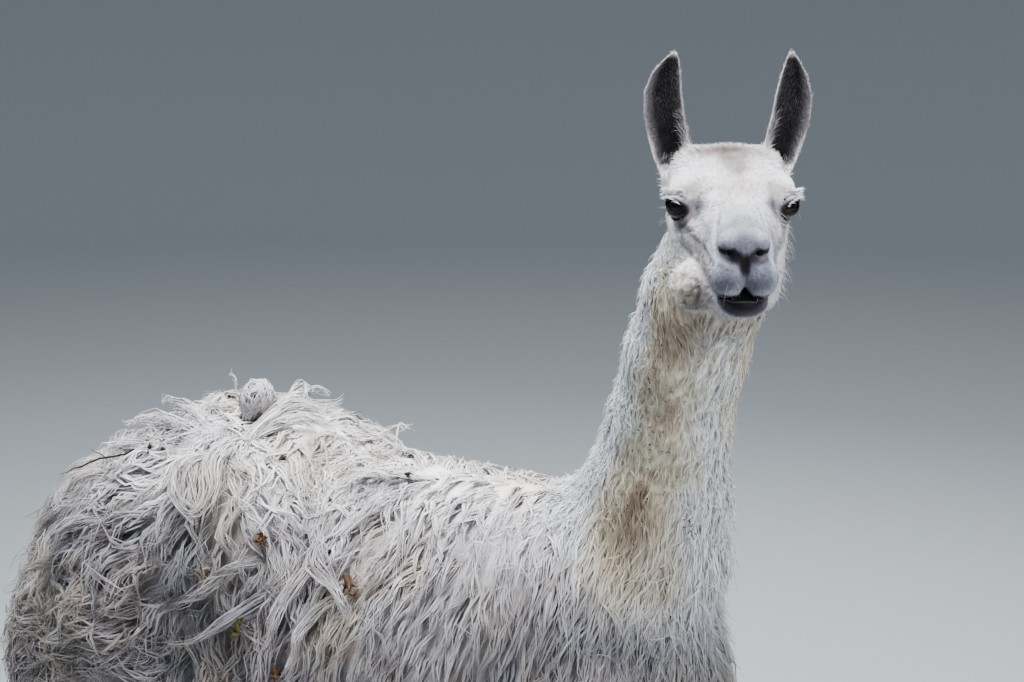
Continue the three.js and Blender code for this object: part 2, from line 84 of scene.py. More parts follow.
def rod(p, a, b, ra, rb):
    a = np.asarray(a, float)
    ba = np.asarray(b, float) - a
    pa = p - a
    t = np.clip((pa @ ba) / (ba @ ba), 0, 1)
    q = pa - t[..., None] * ba
    return np.sqrt((q * q).sum(-1)) - (ra + (rb - ra) * t)


def seg(p, a, b):
    return rod(p, a, b, 0.0, 0.0)


def chain(p, pts, rs, k):
    d = rod(p, pts[0], pts[1], rs[0], rs[1])
    for i in range(1, len(pts) - 1):
        d = smin(d, rod(p, pts[i], pts[i + 1], rs[i], rs[i + 1]), k)
    return d


def mirrored(p, axis=0, e=3.0):
    q = p.copy()
    q[..., axis] = np.sqrt(q[..., axis] ** 2 + e * e)
    return q


EYES = V(-191, -258, 1552)
HEAD_YAW, HEAD_PITCH = -64.0, 3.0
EYE_C = V(3, 55, -1)
EYE_R = 18.0
SIDE = 108


def head_axes():
    y, t = math.radians(HEAD_YAW), math.radians(HEAD_PITCH)
    f = V(math.sin(y) * math.cos(t), -math.cos(y) * math.cos(t), math.sin(t))
    s = np.cross(V(0, 0, 1), f)
    s /= np.linalg.norm(s)
    return f, s, np.cross(f, s)


HF, HS, HU = head_axes()
HM = np.stack([HF, HS, HU], 1)


def to_head(p):
    """Head axes; the muzzle bends a few millimetres to the animal's right."""
    q = (np.asarray(p, float) - EYES) @ HM
    q[..., 1] += ramp(q[..., 0], 30, 140) * (2 + 2.5 * ramp(q[..., 2], -95, -45))
    return q


def from_head(q):
    return np.asarray(q, float) @ HM.T + EYES


def head_form(q):
    """Bare head with its hair, in head axes: f along the face, s to its left, u up."""
    m = mirrored(q, 1)
    d = ell(q, [-50, 0, 10], [58, 58, 52])
    d = smin(d, ell(q, [-15, 0, 8], [50, 57, 45]), 24)
    d = smin(d, ell(m, [-8, 53, 21], [26, 17, 12]), 14)
    d = smin(d, rod(m, [-44, 49, -16], [40, 31, -34], 18, 13), 18)
    d = smin(d, ell(m, [-26, 34, -52], [50, 29, 46]), 26)
    d = smin(d, rod(q, [0, 0, 18], [130, 0, -34], 26, 17), 24)
    d = smin(d, rod(q, [10, 0, -14], [116, 0, -44], 43, 30), 26)
    d = smin(d, chain(m, [[-45, 32, -72], [50, 22, -90], [118, 9, -96]], [22, 19, 14], 16), 24)
    d = smin(d, ell(q, [56, 0, -62], [88, 36, 38]), 26)
    d = smin(d, ell(m, [139, 17.5, -66], [26, 18.5, 22]), 10)
    d = smin(d, ell(q, [140, 0, -38], [23, 20, 19]), 10)
    d = smin(d, ell(m, [146, 16, -30], [16.5, 10.5, 11.5]), 7)
    d = smin(d, ell(q, [130, 0, -97], [24, 25, 14]), 9)
    d = smin(d, ell(q, [58, -46, -86], [38, 25, 27]), 14)
    d = smin(d, ell(m, [-62, 42, 30], [30, 22, 26]), 24)
    d = smax(d, -ell(m, [30, 67, 0], [22, 17, 12]), 8)
    return d


def head_coat(q):
    m = np.abs(q[..., 1])
    lid = np.sqrt((q[..., 0] - 3) ** 2 + (m - 55) ** 2 + (q[..., 2] + 1) ** 2)
    return 6.5 - 4.5 * np.maximum(ramp(q[..., 0], 60, 120), 1 - ramp(lid, 20, 40))


NECK = [V(0, -2, 950), V(0, -78, 1058), V(-10, -103, 1150), V(-24, -124, 1240), V(-40, -148, 1330), V(-59, -178, 1415), V(-79, -207, 1480)]
NECK_HALF = [40, 34, 24, 20, 18, 17, 12]


def neck_side(sign):
    out = []
    for i, c in enumerate(NECK):
        a = math.radians(HEAD_YAW * 0.8 * i / (len(NECK) - 1))
        out.append(c + V(math.sin(a), -math.cos(a), 0) * sign * NECK_HALF[i])
    return out


SPINE_SIDE, THROAT_SIDE = neck_side(-1), neck_side(1)


def neck_form(p):
    d = smin(chain(p, SPINE_SIDE, [80, 64, 54, 51, 49, 48, 47], 30), chain(p, THROAT_SIDE, [88, 68, 55, 51, 49, 50, 47], 30), 40)
    return d - (12 + 14 * (1 - ramp(p[..., 2], 1080, 1260)))


def trunk_form(p):
    d = ell(p, [0, 70, 850], [146, 230, 215])
    d = smin(d, ell(p, [0, 330, 860], [178, 340, 205]), 90)
    d = smin(d, ell(p, [0, 620, 890], [154, 240, 165]), 90)
    d = smin(d, ell(p, [0, 745, 870], [136, 140, 145]), 90)
    d = smin(d, ell(p, [0, -42, 845], [95, 90, 130]), 70)
    d = smin(d, chain(p, [[0, 10, 972], [0, 300, 1002], [0, 600, 1020], [0, 755, 958]], [50, 52, 52, 56], 40), 60)
    y, z = p[..., 1], p[..., 2]
    top = ramp(z, 850, 1060)
    hump = ramp(y, 330, 450) * (1 - ramp(y, 620, 860))
    under = 1 - ramp(z, 640, 760)
    return d - (56 + top * (46 * hump - 2) - 12 * (1 - ramp(y, -150, 30)) - 12 * under + 12 * ramp(y, 750, 900))


def legs_form(p):
    m = mirrored(p)
    z = p[..., 2]
    d = chain(m, [[SIDE - 4, -48, 830], [SIDE + 6, 10, 655], [SIDE, -18, 362], [100, -14, 120]], [64, 50, 33, 24], 30)
    d = smin(d, ell(m, [SIDE + 2, 25, 690], [50, 85, 110]), 40)
    d = smin(d, ell(m, [SIDE + 2, -6, 540], [40, 52, 110]), 40)
    d = smin(d, ell(m, [SIDE - 1, -24, 362], [34, 34, 40]), 14)
    d = smin(d, ell(m, [100, -14, 118], [29, 31, 34]), 14)
    g = chain(m, [[95, 700, 900], [118, 600, 690], [108, 790, 410], [102, 765, 125]], [110, 72, 34, 25], 40)
    g = smin(g, ell(m, [106, 778, 765], [77, 130, 165]), 50)
    g = smin(g, ell(m, [112, 705, 605], [44, 62, 115]), 40)
    g = smin(g, rod(m, [106, 770, 560], [106, 828, 425], 14, 17), 16)
    g = smin(g, ell(m, [106, 806, 405], [30, 36, 44]), 14)
    g = smin(g, ell(m, [102, 766, 122], [30, 32, 34]), 14)
    return smin(d - (5 + 43 * ramp(z, 500, 660)), g - (5 + 43 * ramp(z, 500, 700)), 30)


def foot_form(p, cx, cy, top):
    q = p.copy()
    q[..., 0] = np.abs(q[..., 0])
    d = None
    for sx in (-1, 1):
        e = rod(q, [cx + sx * 11, cy, top - 6], [cx + sx * 18, cy - 30, 34], 22, 21)
        e = smin(e, ell(q, [cx + sx * 19, cy - 38, 20], [18, 40, 22]), 10)
        d = e if d is None else smin(d, e, 5)
    return d - 4


TAIL = [V(0, 850, 955), V(0, 910, 935), V(0, 950, 885), V(0, 958, 820), V(0, 950, 745)]


def tail_form(p):
    return chain(p, TAIL, [30, 24, 20, 17, 13], 20) - 38


# ears: stations up the ear in head axes: f, s, u, half width, depth of the cup, thickness
EARS = {
    -1: np.array([[-62, -55, 28, 21.5, 14, 9], [-66, -61, 47, 24, 14, 8], [-69, -67, 71, 25, 13, 7], [-71, -72.5, 98, 25, 12, 6.5],
                  [-73, -74.5, 124, 23.5, 10, 6], [-74, -71, 147, 18.5, 7, 5.5], [-74, -65.5, 163, 10.5, 4, 5], [-73, -62, 172, 4, 1.5, 4]], float),
    1: np.array([[-62, 53, 28, 20.5, 14, 9], [-66, 59, 47, 23.5, 14, 8], [-69, 67, 71, 25, 13, 7], [-71, 74, 98, 25, 12, 6.5],
                 [-73, 77, 122, 23.5, 10, 6], [-74, 77.5, 144, 18, 7, 5.5], [-74, 76, 162, 10, 4, 5], [-73, 74.5, 172, 4, 1.5, 4]], float),
}
EAR_OUTWARD = 12.0


def ear_local(q, sign):
    """Across the ear (-1..1 at its rims), forward of its sheet in mm, and the stations at this height."""
    e = EARS[sign]
    u = q[..., 2]
    st = [np.interp(u, e[:, 2], e[:, i]) for i in (0, 1, 3, 4, 5)]
    a = math.radians(EAR_OUTWARD) * sign
    face = (math.cos(a), math.sin(a))
    side = (-math.sin(a), math.cos(a))
    df, ds = q[..., 0] - st[0], q[..., 1] - st[1]
    X = df * side[0] + ds * side[1]
    Y = df * face[0] + ds * face[1]
    hw, cup, th = st[2], st[3], st[4]
    t = X / np.maximum(hw, 0.5)
    mid = -cup * (1 - t * t) + cup * 0.5
    return t, Y - mid, hw, cup, th, X


def ear_form(q, sign, thin=0.0):
    t, y, hw, cup, th, X = ear_local(q, sign)
    slope = 2 * cup * np.clip(t, -1.2, 1.2) / np.maximum(hw, 1.0)
    half = np.maximum(th * 0.5 - thin, 1.9)
    d = np.abs(y) / np.sqrt(1 + slope * slope) - half * (0.8 + 0.2 * np.sqrt(np.clip(1 - t * t, 0, 1)))
    d = smax(d, np.abs(X) - (hw - thin), 2.0)
    d = np.maximum(d, q[..., 2] - (173 - thin))
    return np.maximum(d, 12 - q[..., 2])


FAR = 400.0


def outer(p, with_tail=True, with_ears=True):
    """Distance to the tips of the coat."""
    n = len(p)
    z, y = p[:, 2], p[:, 1]
    d = np.full(n, FAR)

    def put(mask, fn, k):
        if mask.any():
            v = fn(p[mask])
            d[mask] = smin(d[mask], v, k)

    put((z < 1330) & (z > 450), trunk_form, 1.0)
    put(z > 760, neck_form, 60.0)
    put(z < 1150, legs_form, 45.0)
    low = z < 260
    put(low & (y < 350), lambda q: foot_form(q, 100, -14, 120), 16.0)
    put(low & (y > 350), lambda q: foot_form(q, 102, 765, 125), 16.0)
    put((z > 1250), lambda q: head_form(to_head(q)) - head_coat(to_head(q)), 26.0)
    if with_tail:
        put((y > 700) & (z > 600) & (z < 1150), tail_form, 30.0)
    return d


# how far the skin lies under the tips of the coat
def coat_depth(p):
    y, z = p[..., 1], p[..., 2]
    q = to_head(p)
    neck = 7 + 3 * (1 - ramp(z, 1150, 1330)) + 9 * (1 - ramp(z, 960, 1130))
    hump = ramp(y, 300, 470)
    body = 20 + 10 * hump * ramp(z, 800, 1000) + 5 * hump
    leg = 4 + 30 * ramp(z, 480, 690)
    out = np.where(z > 1130, neck, np.minimum(body, np.where(y < 60, 21.0, 99.0)))
    out = np.minimum(out, leg + 0 * z)
    w = ramp(z, 980, 1150)
    out = np.where(z > 900, out * (1 - w) + neck * w, out)
    # the face: out from the neck's plane
    face = ramp(q[..., 0] * 0.887 + q[..., 2] * 0.461 + 79, -35, 10) * (z > 1380)
    out = out * (1 - face) + np.minimum(head_coat(q) - 0.8, 5.2) * face
    back = ramp(y, 900, 960)
    return out * (1 - 0.2 * back)


NOSTRIL = [[149, 27, -36], [157, 20, -38.5], [162, 13.5, -38.5], [165, 8.5, -42], [167, 6, -47], [168, 3.5, -52]]
LIPS = [[168, 0, -75], [167, 3, -82], [163, 8, -87], [158, 16, -88.5], [150, 25, -87.5], [142, 31, -84], [128, 36, -84]]


def bump_at(q, c, r):
    """1 at c, fading to 0 at the distance r (three)."""
    d = np.sqrt((((q - np.asarray(c, float)) / np.asarray(r, float)) ** 2).sum(-1))
    t = np.clip(1 - d, 0, 1)
    return t * t * (3 - 2 * t)


def lids(d, q):
    """Eyelids, sockets, nostrils, lips and folds, worked into the head's surface (head axes)."""
    m = q.copy()
    m[..., 1] = np.abs(q[..., 1])
    v = m - EYE_C
    w = V(0.66, 0.75, 0.0)
    w = w / np.linalg.norm(w)
    h = V(w[1], -w[0], 0)
    a, b, c = v @ w, v @ h, v[..., 2]
    r = np.sqrt((v * v).sum(-1))
    # lids as a cap over the eyeball, thicker and further out above
    shell = r - (EYE_R + 2.3 + 2.2 * ramp(c, 0, 10))
    shell = smax(shell, -a - 2, 4)
    d = smin(d, shell, 9)
    cc = c + 0.16 * b - 0.3
    b0 = b - 0.8
    top = 6.6 * (1 - (np.abs(b0) / 13.0) ** 2.6)
    low = 6.6 * (1 - (b0 / 12.8) ** 2)
    gap = np.maximum(cc - top, -cc - low) * 0.8
    d = smax(d, -np.maximum(gap, 3 - a), 1.2)
    d = np.maximum(d, -(r - EYE_R - 0.35))
    # rounded rim of the lids
    rim = np.abs(np.maximum(cc - top, -cc - low) - 1.8)
    d = d - 0.8 * np.exp(-(rim / 1.6) ** 2) * ramp(a, 6, 12) * (1 - ramp(r, 24, 30))
    # crease over the upper lid, bags under the lower
    arc = np.abs(np.sqrt((b * 0.86) ** 2 + c ** 2) - 14.0)
    d = d + 1.9 * np.exp(-(arc / 1.9) ** 2) * ramp(c, 2, 8) * ramp(a, 2, 8)
    arc2 = np.abs(np.sqrt((b * 0.82) ** 2 + c ** 2) - 15.5)
    d = d + 1.6 * np.exp(-(arc2 / 1.9) ** 2) * ramp(-c, 4, 10) * ramp(a, 0, 8)
    arc3 = np.abs(np.sqrt((b * 0.8) ** 2 + (c + 2) ** 2) - 21.5)
    d = d + 1.4 * np.exp(-(arc3 / 2.2) ** 2) * ramp(-c, 5, 12) * ramp(a, -6, 4)
    # brow ridge over the eye
    d = d - 2.4 * bump_at(m, (4, 56, 19), (26, 16, 9))
    # tear duct running to the nose
    d = d + 2.0 * np.exp(-(chain(m, [[17, 46, -4], [27, 40, -7], [38, 35, -14]], [0, 0, 0], 2) / 2.1) ** 2)
    # nostrils: commas that droop to the split lip, with a hollow and a wing below
    d = d + 2.6 * bump_at(m, (161, 17, -46), (18, 13, 9))
    d = d - 1.8 * np.exp(-(chain(m, [[150, 29.5, -40], [156, 25, -50], [162, 14, -55]], [0, 0, 0], 2) / 2.6) ** 2)
    d = smax(d, -chain(m, NOSTRIL, [1.0, 2.2, 2.9, 2.6, 1.8, 1.0], 2), 1.4)
    d = smax(d, -rod(m, [163, 14, -41], [147, 15, -38], 3.0, 5.0), 2)
    # groove along the ridge of the nose, folds at its sides
    d = d + 0.9 * np.exp(-(q[..., 1] / 1.5) ** 2) * ramp(q[..., 0], 120, 150) * ramp(q[..., 2], -56, -48)
    d = d + 1.7 * np.exp(-(chain(m, [[104, 27, -12], [126, 30, -24], [139, 29, -40]], [0, 0, 0], 2) / 2.8) ** 2)
    # groove of the split lip
    d = smax(d, -rod(q, [169, 0, -53], [168.5, 0, -76], 2.2, 1.6), 2.4)
    # crease behind each lobe
    d = d + 3.2 * np.exp(-(chain(m, [[126, 33, -50], [121, 37, -64], [124, 37, -78], [134, 35, -88]], [0, 0, 0, 0], 2) / 2.8) ** 2)
    # whisker ridges on the lobes
    ridge = np.sin(m[..., 2] * 1.25 + 0.06 * m[..., 1] ** 1.5)
    d = d + 0.28 * ridge * bump_at(m, (156, 20, -72), (26, 20, 20)) * 1.4
    return d


def mouth(d, q):
    """The closed mouth: lobes over a lower lip, open a little under the split."""
    m = q.copy()
    m[..., 1] = np.abs(q[..., 1])
    cut = chain(m, LIPS, [1.3, 2.2, 2.6, 2.4, 2.2, 1.9, 1.2], 2)
    d = smax(d, -cut, 1.6)
    wedge = np.maximum(0.81 * np.abs(q[..., 1]) + 0.58 * (q[..., 2] + 75), np.maximum(-(q[..., 2] + 92), 144 - q[..., 0]))
    d = smax(d, -wedge, 1.2)
    back_ = chain(m, [[156, 0, -87], [150, 12, -89], [136, 24, -88]], [5, 3.4, 2.4], 2)
    return smax(d, -back_, 2.0)


FOLDS = []  # filled below: (points in head axes, width, depth)


def skin(p, detail=True):
    """Distance to the bare skin."""
    d = outer(p) + coat_depth(p)
    hm = p[:, 2] > 1370
    if hm.any():
        q = to_head(p[hm])
        e = d[hm]
        for sign in (-1, 1):
            e = smin(e, ear_form(q, sign, 1.2), 9)
        if detail:
            near = (q[:, 0] > -40)
            if near.any():
                g = e[near]
                qq = q[near]
                g = lids(g, qq)
                g = mouth(g, qq)
                for pts, wd, dp in FOLDS:
                    g = g + dp * np.exp(-(chain(qq, pts, [0] * len(pts), 1.5) / wd) ** 2)
                full = bump_at(qq, (62, -66, -88), (50, 34, 42))
                if (full > 0).any():
                    f_ = full > 0
                    g[f_] += full[f_] * (3.4 * noise(qq[f_], 15, 5) + 2.2 * noise(qq[f_], 7.5, 6))
                e[near] = g
        d[hm] = e
    return np.maximum(d, 0.4 - p[:, 2])


def slope(fn, p, e=0.6):
    t = np.array([[1, -1, -1], [-1, -1, 1], [-1, 1, -1], [1, 1, 1]], float)
    n = len(p)
    v = fn(np.concatenate([p + e * k for k in t]))
    v = v.reshape(4, n)
    g = (t[:, None, :] * v[..., None]).sum(0) / (4 * e)
    return g, v.mean(0)


def unit(v):
    return v / np.maximum(np.linalg.norm(v, axis=-1, keepdims=True), 1e-9)


def settle(fn, p, turns=2, limit=3.0):
    for _ in range(turns):
        g, d = slope(fn, p)
        n2 = np.maximum((g * g).sum(-1), 0.1)
        s = np.clip(0.95 * d / n2, -limit, limit)
        p = p - g * s[:, None]
    return p


def surface(fn, axes, block=8):
    """Surface nets on a grid of uneven lines, closed, as quads."""
    n = np.array([len(a) for a in axes])
    val = np.full(n, 9.0, np.float32)
    starts = [np.arange(0, m, block) for m in n]
    ends = [np.minimum(s + block, m) for s, m in zip(starts, n)]
    mids = [0.5 * (a[s] + a[e - 1]) for a, s, e in zip(axes, starts, ends)]
    half = [0.5 * (a[e - 1] - a[s]) for a, s, e in zip(axes, starts, ends)]
    cen = np.stack(np.meshgrid(*mids, indexing="ij"), -1)
    hal = np.stack(np.meshgrid(*half, indexing="ij"), -1)
    dc = fn(cen.reshape(-1, 3)).reshape(cen.shape[:3])
    reach = np.linalg.norm(hal, axis=-1) * 1.15 + 14
    mask = np.zeros(n, bool)
    for a, b, c in np.ndindex(*dc.shape):
        sl = (slice(starts[0][a], ends[0][a]), slice(starts[1][b], ends[1][b]), slice(starts[2][c], ends[2][c]))
        if abs(dc[a, b, c]) < reach[a, b, c]:
            mask[sl] = True
        elif dc[a, b, c] < 0:
            val[sl] = -9.0
    idx = np.argwhere(mask)
    pts = np.stack([axes[i][idx[:, i]] for i in range(3)], 1)
    say("grid", tuple(n), "samples", len(pts))
    res = np.concatenate([fn(pts[i:i + 200000]) for i in range(0, len(pts), 200000)])
    val[mask] = res
    s = val < 0
    tot = np.zeros(n - 1, np.int8)
    for i in (0, 1):
        for j in (0, 1):
            for k in (0, 1):
                tot += s[i:n[0] - 1 + i, j:n[1] - 1 + j, k:n[2] - 1 + k]
    ci = np.argwhere((tot > 0) & (tot < 8))
    vid = np.full(n - 1, -1, np.int64)
    vid[tuple(ci.T)] = np.arange(len(ci))
    corners = np.array([(i, j, k) for i in (0, 1) for j in (0, 1) for k in (0, 1)])
    cv = np.stack([val[tuple((ci + c).T)] for c in corners], 1).astype(float)
    acc, cnt = np.zeros((len(ci), 3)), np.zeros(len(ci))
    for x in range(8):
        for y in range(x + 1, 8):
            if np.abs(corners[x] - corners[y]).sum() != 1:
                continue
            a, b = cv[:, x], cv[:, y]
            cr = (a < 0) != (b < 0)
            t = np.where(cr, a / np.where(cr, a - b, 1), 0)
            pp = corners[x] + t[:, None] * (corners[y] - corners[x])
            acc[cr] += pp[cr]
            cnt[cr] += 1
    fr = acc / cnt[:, None]
    lo = np.stack([axes[i][ci[:, i]] for i in range(3)], 1)
    hi = np.stack([axes[i][ci[:, i] + 1] for i in range(3)], 1)
    v = lo + fr * (hi - lo)
    faces = []
    for d in range(3):
        u_, w_ = (d + 1) % 3, (d + 2) % 3
        sl0 = [slice(1, n[i] - 1) for i in range(3)]
        sl0[d] = slice(0, n[d] - 1)
        sl1 = list(sl0)
        sl1[d] = slice(1, n[d])
        e = np.argwhere(s[tuple(sl0)] != s[tuple(sl1)])
        off = np.ones(3, int)
        off[d] = 0
        e = e + off
        inside = s[tuple(e.T)]
        du, dw = np.zeros(3, int), np.zeros(3, int)
        du[u_] = 1
        dw[w_] = 1
        q = np.stack([vid[tuple((e - du - dw).T)], vid[tuple((e - dw).T)], vid[tuple(e.T)], vid[tuple((e - du).T)]], 1)
        q[~inside] = q[~inside][:, ::-1]
        faces.append(q)
    return v, np.concatenate(faces), hi - lo


# =====================================================================================
# where the form stands in the frame: the right eyeball's node says it
# =====================================================================================
lo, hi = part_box("eye_right")
eye_node = 0.5 * (np.array(lo) + np.array(hi)) * 1000.0
SHIFT = eye_node - from_head(V(3, -55, -1))
SHIFT[2] = 0.0
say("shift", SHIFT)


def place(p):
    return (p + SHIFT) / 1000.0


# =====================================================================================
# camera and light
# =====================================================================================
CAM_L = V(-1884, -840, 1770)
cam = bpy.data.cameras.new("camera")
cam.lens = 55.0
cam.sensor_width = 36.0
cam.clip_end = 100.0
camera = bpy.data.objects.new("camera", cam)
bpy.context.scene.collection.objects.link(camera)
camera.location = place(CAM_L).tolist()
pitch = math.radians(12.0)
aim = Vector((0.891 * math.cos(pitch), 0.454 * math.cos(pitch), -math.sin(pitch)))
camera.rotation_euler = aim.to_track_quat("-Z", "Y").to_euler()
bpy.context.scene.camera = camera


def pixel_ray(x, y):
    p = pitch
    fh, r = V(0.891, 0.454, 0), V(0.454, -0.891, 0)
    fw = fh * math.cos(p) - V(0, 0, 1) * math.sin(p)
    up = fh * math.sin(p) + V(0, 0, 1) * math.cos(p)
    d = fw + r * (x - 512) / 1564.4 + up * (341 - y) / 1564.4
    return d / np.linalg.norm(d)


def on_coat(x, y, fn=None):
    """The point of the coat's outer surface that the camera sees at this pixel."""
    fn = fn or outer
    d, t = pixel_ray(x, y), 1200.0
    for _ in range(80):
        g = float(fn((CAM_L + d * t)[None])[0])
        t += g * 0.8
        if abs(g) < 0.3:
            break
        if t > 5000:
            return None
    return CAM_L + d * t


def fold(line, width, depth):
    """A crease in the face, drawn where the camera sees it."""
    pts = []
    for x, y in line:
        hit = on_coat(x, y, lambda p: head_form(to_head(p)))
        if hit is not None:
            pts.append(to_head(hit[None])[0].tolist())
    if len(pts) > 1:
        FOLDS.append((pts, width, depth))


fold([(686, 232), (695, 240), (705, 251), (712, 266)], 4.2, 3.2)
fold([(681, 243), (690, 253), (698, 263), (705, 276)], 3.2, 2.2)
fold([(705, 272), (709, 287), (717, 299)], 3.4, 3.6)
fold([(681, 262), (682, 276), (683, 292), (686, 302)], 2.6, 2.0)
fold([(684, 303), (695, 308), (710, 310)], 2.6, 2.6)
fold([(696, 281), (700, 291), (697, 300)], 2.4, 2.2)
fold([(720, 204), (718, 220), (716, 238)], 4.5, 0.9)
fold([(759, 210), (765, 224), (770, 238)], 4.5, 0.9)
fold([(679, 221), (685, 228), (694, 231)], 3.0, 1.6)
fold([(773, 226), (778, 243), (776, 260)], 3.4, 1.6)
fold([(704, 196), (711, 191), (720, 188)], 3.4, 0.9)


# =====================================================================================
# noise and colour
# =====================================================================================
def noise(p, size, seed=0):
    q = p / size
    i = np.floor(q).astype(np.int64)
    f = q - i
    w = f * f * (3 - 2 * f)
    out = 0.0
    W = [(1 - w[..., k], w[..., k]) for k in range(3)]
    I = [i[..., 0] * 374761393, i[..., 1] * 668265263, i[..., 2] * 1274126177 + seed * 362437]
    for a, b, c in np.ndindex(2, 2, 2):
        h = (I[0] + (a * 374761393) + I[1] + (b * 668265263) + I[2] + (c * 1274126177)) & 0xFFFFFFFF
        h = ((h ^ (h >> 13)) * 1274126177) & 0xFFFFFFFF
        out = out + W[0][a] * W[1][b] * W[2][c] * (((h ^ (h >> 16)) & 0xFFFF) / 32767.5 - 1.0)
    return out


def noise2(p, size, seed=0):
    return (noise(p, size, seed) + 0.5 * noise(p, size * 0.47, seed + 7)) / 1.3


def srgb(r, g, b):
    c = np.array([r, g, b], float) / 255.0
    return np.where(c <= 0.04045, c / 12.92, ((c + 0.055) / 1.055) ** 2.4)


def mix(a, b, t):
    return a + (b - a) * np.clip(t, 0, 1)[..., None]


def blob(p, c, r):
    """1 at c, fading to 0 at the distance r (a number or three)."""
    d = np.sqrt((((p - np.asarray(c, float)) / np.asarray(r, float)) ** 2).sum(-1))
    return np.clip(1 - d, 0, 1) ** 1.3


def fleece(p):
    """Height 0..1 of rounded lumps of wool with narrow creases between them, drawn out downwards."""
    w = np.stack([noise(p, 110, s) for s in (201, 202, 203)], -1) * 42
    q = (p + w) * np.array([1.0, 1.0, 0.55])
    a = np.clip(np.abs(noise(q, 46, 211)) * 1.9, 0, 1) ** 0.6
    b = np.clip(np.abs(noise(q, 21, 212)) * 1.9, 0, 1) ** 0.6
    return 0.68 * a + 0.32 * b


def fleece_amount(p):
    """How lumpy the wool is: most on the rump, least on the neck; none on head and legs."""
    t = trunk_share(p)
    return t * (0.22 + 0.78 * ramp(p[:, 1], 60, 430)) * ramp(p[:, 2], 480, 620)


def trunk_share(p):
    """1 on the trunk, 0 from the root of the neck forwards and up."""
    return 1 - ramp((p[:, 1] + 100) * -0.683 + (p[:, 2] - 1007.5) * 0.73, -60, 20)


WOOL, CREAM, GREY = srgb(232, 225, 224), srgb(224, 208, 184), srgb(204, 196, 200)
PINK, TAN, STAIN = srgb(234, 216, 208), srgb(206, 184, 152), srgb(128, 108, 88)
WHITE, MUZZLE, DARK = srgb(236, 232, 231), srgb(152, 139, 146), srgb(34, 29, 30)
BROWN, SKINPINK = srgb(150, 124, 104), srgb(200, 176, 170)


# Shading of the face in the head's own axes, alike on both sides: a cool grey for
# painted shade over hollows and folds and for the dark bare skin of nose and lips, a warm one where it is dusty.
COOL_SHADE_AND_SKIN, WARM = np.array((0.34, 0.34, 0.37)), np.array((0.4, 0.35, 0.32))
FACE_SHADES = [
    ((-4, 0, 56), (58, 42, 34), WARM, 0.95),       # crown
    ((22, 50, 17), (28, 22, 18), WARM, 0.6),      # upper lid
    ((36, 42, 0), (24, 17, 17), COOL_SHADE_AND_SKIN, 0.9),      # painted shade in the inner corner of the eye
    ((16, 55, -9), (24, 17, 16), COOL_SHADE_AND_SKIN, 0.85),      # painted shade on the lower lid
    ((2, 60, -20), (30, 17, 17), COOL_SHADE_AND_SKIN, 0.75),      # painted shade of the pouch under it
    ((98, 34, -26), (32, 16, 22), COOL_SHADE_AND_SKIN, 0.7),     # painted shade at the side of the bridge
    ((158, 0, -27), (16, 18, 15), COOL_SHADE_AND_SKIN, 0.8),     # nose pad
    ((160, 0, -49), (13, 10, 15), COOL_SHADE_AND_SKIN, 0.85),    # between the nostrils
    ((165, 17, -70), (15, 15, 15), COOL_SHADE_AND_SKIN, 0.4),    # split upper lip
    ((150, 6, -102), (26, 28, 16), COOL_SHADE_AND_SKIN, 0.75),   # lower lip and chin: their dark skin, and painted shade under the mouth
]
FACE_LINES = [
    ([[-40, 34, 60], [-12, 8, 58], [12, 0, 52], [28, 0, 43]], 24, WARM, 0.95),        # dusty crown, pointed to the front
    ([[34, 44, 3], [54, 35, 3]], 11, COOL_SHADE_AND_SKIN, 0.8),                        # painted shade in the crease running in from the eye
    ([[52, 0, 20], [108, 0, 2], [136, 0, -12]], 32, WARM, 0.62),        # bridge
    ([[20, 56, -34], [52, 45, -46], [106, 36, -54]], 21, COOL_SHADE_AND_SKIN, 0.75),   # painted shade along the tear line
    ([[141, 36, -64], [124, 33, -80], [108, 31, -90]], 17, COOL_SHADE_AND_SKIN, 0.95),  # painted shade in the fold behind the muzzle
]


